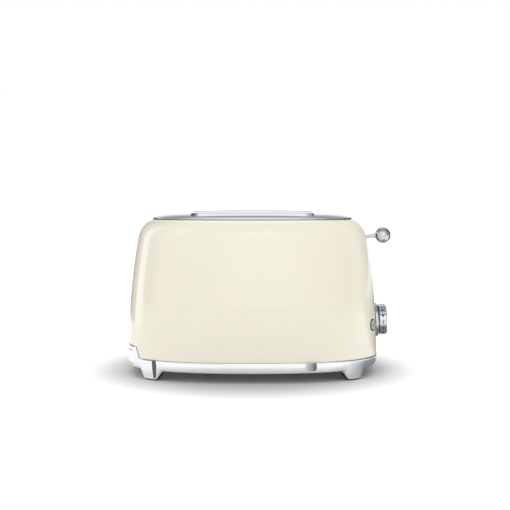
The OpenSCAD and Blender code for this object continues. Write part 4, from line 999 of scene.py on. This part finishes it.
# A pale floor that looks white from a little way out
def makeFloor():
    look, span = floorLook, floorLook["span"]
    mesh = bpy.data.meshes.new("floor")
    mesh.from_pydata([(x * span, y * span, 0) for x, y in ((-1, -1), (1, -1), (1, 1), (-1, 1))], [],
                     [(0, 1, 2, 3)])
    floor = addObject("floor", mesh)
    material, add, place = startMaterial("paleFloor")
    rays = add("LightPath")
    metal = (rays, "Is Glossy Ray")
    seen = add("Math", {0: (rays, "Is Camera Ray"), 1: (rays, "Is Transmission Ray")}, operation="MAXIMUM")
    oval = add("Mapping", {"Scale": (1 / look["oval"][0], 1 / look["oval"][1], 1.0), "Vector": place})
    away = (add("VectorMath", {0: oval}, operation="LENGTH"), "Value")
    parts = add("SeparateXYZ", {"Vector": place})
    beside = add("VectorMath", {0: place, 1: look["beside"]}, operation="DISTANCE")
    # painted shadow: a greyer floor colour close to the toaster, and a glow to white further out
    ground = add("MapRange", {"Value": away, **fromTo(*look["ground"])}, interpolation_type="SMOOTHSTEP")
    paintedShadow = add("ValToRGB", {"Fac": ground},
               stops=[(position, grey(level)) for position, level in enumerate(look["shadowTones"])])
    matt = add("BsdfDiffuse", {"Color": paintedShadow})
    spread = add("MapRange", {"Value": away, **fromTo(*look["glow"])}, interpolation_type="SMOOTHSTEP")
    amount = add("Math", {0: seen, 1: spread}, operation="MULTIPLY")
    front, beyond, near, far, side, patch = [
        add("MapRange", {"Value": source, **fromTo(*look[key])})
        for key, source in (("front", (parts, "Y")), ("beyond", (parts, "Y")), ("band", (parts, "Y")),
                            ("farBand", (parts, "Y")), ("side", (parts, "X")), ("patch", (beside, "Value")))]
    # metal also sees white card laid close in front, and the far floor as white as the sky
    front = add("Math", {0: front, 1: beyond}, operation="MAXIMUM")
    amount = add("Math", {0: front, 1: metal, 2: amount}, operation="MULTIPLY_ADD")
    glow = add("Emission", {"Color": grey(1), "Strength": amount})
    lit = add("AddShader", {0: matt, 1: glow})
    # metal sees the floor dark in a band behind the toaster and, as painted shadow, in a patch under the lever
    band = add("Math", {0: near, 1: far}, operation="MULTIPLY")
    band = add("Math", {0: band, 1: side}, operation="MULTIPLY")
    dark = add("Math", {0: band, 1: patch}, operation="MAXIMUM")
    dark = add("Math", {0: dark, 1: metal}, operation="MULTIPLY")
    shade = add("Emission", {"Color": grey(look["dark"])})
    both = add("MixShader", {0: dark, 1: lit, 2: shade})
    add("OutputMaterial", {"Surface": both})
    mesh.materials.append(material)


# ring: levels by the angle from the front, in degrees to the right. backdrop: levels by the height behind
skyLook = {"ring": [(-180, 0.5), (-160, 0.34), (-146, 0.2), (-124, 0.2), (-88, 0.14), (-69, 0.16), (-63, 0.54),
                    (-16, 0.56), (-6, 0.74), (14, 0.74), (27, 0.56), (42, 0.48), (62, 0.22), (90, 0.26),
                    (106, 0.07), (136, 0.07), (148, 0.24), (160, 0.34), (180, 0.5)],
           "backdrop": [(0.0, 0.72), (0.07, 0.7), (0.12, 0.62), (0.2, 0.5), (0.34, 0.26), (1.0, 0.2)],
           "behind": (0.445, 0.465), "overhead": (0.72, 0.92), "overheadLevel": 0.26, "lampRise": 46,
           "lampReach": (13, 7), "lampLevel": 0.62, "mirrored": 1.7, "fill": 0.84}


# The sky is white to the camera and a soft fill to matt surfaces. Metal and gloss see a white tent:
# white in front, dark gaps at the sides, grey overhead, a lamp above the back
def makeSky():
    look = skyLook
    world = bpy.data.worlds.new("studioSky")
    bpy.context.scene.world = world
    add = emptyTree(world)
    way = (add("TexCoord"), "Generated")
    rays = add("LightPath")
    parts = add("SeparateXYZ", {"Vector": way})
    back = add("Math", {0: (parts, "Y"), 1: -1.0}, operation="MULTIPLY")
    turn = add("Math", {0: (parts, "X"), 1: back}, operation="ARCTAN2")
    turn = add("Math", {0: turn, 1: 1 / (2 * math.pi), 2: 0.5}, operation="MULTIPLY_ADD")
    around = add("ValToRGB", {"Fac": turn},
                 stops=[(angle / 360 + 0.5, grey(level)) for angle, level in look["ring"]])
    backdrop = add("ValToRGB", {"Fac": (parts, "Z")},
                   stops=[(height, grey(level)) for height, level in look["backdrop"]])
    fold = add("Math", {0: turn, 1: 0.5}, operation="SUBTRACT")
    fold = add("Math", {0: fold}, operation="ABSOLUTE")
    behind = add("MapRange", {"Value": fold, **fromTo(*look["behind"])})
    low = add("Mix", {0: behind, 6: around, 7: backdrop}, data_type="RGBA")
    raised = add("MapRange", {"Value": (parts, "Z"), **fromTo(*look["overhead"])})
    tent = add("Mix", {0: raised, 6: (low, 2), 7: grey(look["overheadLevel"])}, data_type="RGBA")
    rise = math.radians(look["lampRise"])
    nearLamp = add("VectorMath", {0: way, 1: (0, math.cos(rise), math.sin(rise))}, operation="DOT_PRODUCT")
    nearness = np.cos(np.radians(look["lampReach"])).tolist()
    lamp = add("MapRange", {"Value": (nearLamp, "Value"), **fromTo(*nearness)})
    tent = add("Mix", {0: lamp, 6: (tent, 2), 7: grey(look["lampLevel"])}, data_type="RGBA")
    mirrored = add("Background", {"Strength": look["mirrored"], "Color": (tent, 2)})
    white = add("Math", {0: (rays, "Is Camera Ray"), 1: (rays, "Is Transmission Ray")}, operation="MAXIMUM")
    plain = add("Mix", {0: white, 6: grey(look["fill"]), 7: grey(1)}, data_type="RGBA")
    outdoors = add("Background", {"Color": (plain, 2)})
    sky = add("MixShader", {0: (rays, "Is Glossy Ray"), 1: outdoors, 2: mirrored})
    add("OutputWorld", {"Surface": sky})


# Cards that only gloss and metal see: a tall strip light and a black flag at the left, and two low strips
# close to the skirt's front, whose dark lines show in the plating and not in the enamel. Each one has x,
# y, azimuth, gap, width, spread of the feet, lower and upper edge, and a level for each corner in turn
cards = {"stripLight": (-0.737, 0.095, -101, 0, 0.28, 0, 0.001, 1.5, (1.7, 1.7, 0.2, 0.2)),
         "blackFlag": (-0.504, 0.42, 39.0494, 0, 0.504765, 0, 0.001, 1.2, (0.2, 0.2, 0.2, 0.2)),
         "leftCard": (-0.118, -0.076, -62, 0.0035, 0.0048, 0.0016, 0.0005, 0.0275, (0.14, 0.14, 0.14, 0.14)),
         "rightCard": (0.0715, -0.0955, 21.5, 0.0045, 0.014, 0.0016, 0.0005, 0.0275, (0.75, 0.1, 0.1, 0.75))}


def makeCard(name, x, y, azimuth, gap, width, spread, low, high, levels):
    a = math.radians(azimuth)
    right, out = np.array([math.cos(a), math.sin(a), 0]) / 2, np.array([math.sin(a), -math.cos(a), 0]) * gap
    foot, top = np.array([x, y, low]) + out, np.array([x, y, high]) + out
    feet, tops = right * (width + spread), right * width
    mesh = bpy.data.meshes.new(name)
    mesh.from_pydata([foot - feet, foot + feet, top + tops, top - tops], [], [(0, 1, 2, 3)])
    shades = mesh.color_attributes.new("level", "FLOAT_COLOR", "POINT")
    for shade, level in zip(shades.data, levels):
        shade.color = grey(level)
    material = bpy.data.materials.new(name)
    add = emptyTree(material)
    level = add("Attribute", attribute_name="level")
    glow = add("Emission", {"Color": (level, "Color")})
    add("OutputMaterial", {"Surface": glow})
    mesh.materials.append(material)
    card = addObject(name, mesh)
    card.visible_camera = card.visible_diffuse = card.visible_shadow = card.visible_transmission = False


# Soft lamps that metal doesn't see: azimuth from the front, elevation, distance, width, height and watts
lamps = {"overheadSoftbox": (0, 82, 1.6, 1.6, 1.4, 6), "frontFill": (-10, 22, 2.4, 2.0, 1.4, 4.7),
         "rightFill": (100, 12, 1.6, 1.0, 1.4, 5), "leftFill": (-105, 12, 1.6, 1.0, 1.4, 2.5)}


# A lamp aimed at the middle of the toaster, which is 0.1 m up
def makeLamp(name, azimuth, elevation, distance, width, height, watts):
    lamp = bpy.data.lights.new(name, "AREA")
    lamp.shape, lamp.size, lamp.size_y, lamp.energy = "RECTANGLE", width, height, watts
    holder = addObject(name, lamp)
    a, e = math.radians(azimuth), math.radians(elevation)
    holder.location = (distance * math.sin(a) * math.cos(e), -distance * math.cos(a) * math.cos(e),
                       distance * math.sin(e) + 0.1)
    holder.rotation_euler = (math.radians(90 - elevation), 0, a)
    holder.visible_glossy = False


makeFloor()
makeSky()
for name, card in cards.items():
    makeCard(name, *card)
for name, lamp in lamps.items():
    makeLamp(name, *lamp)
print("studio lit")
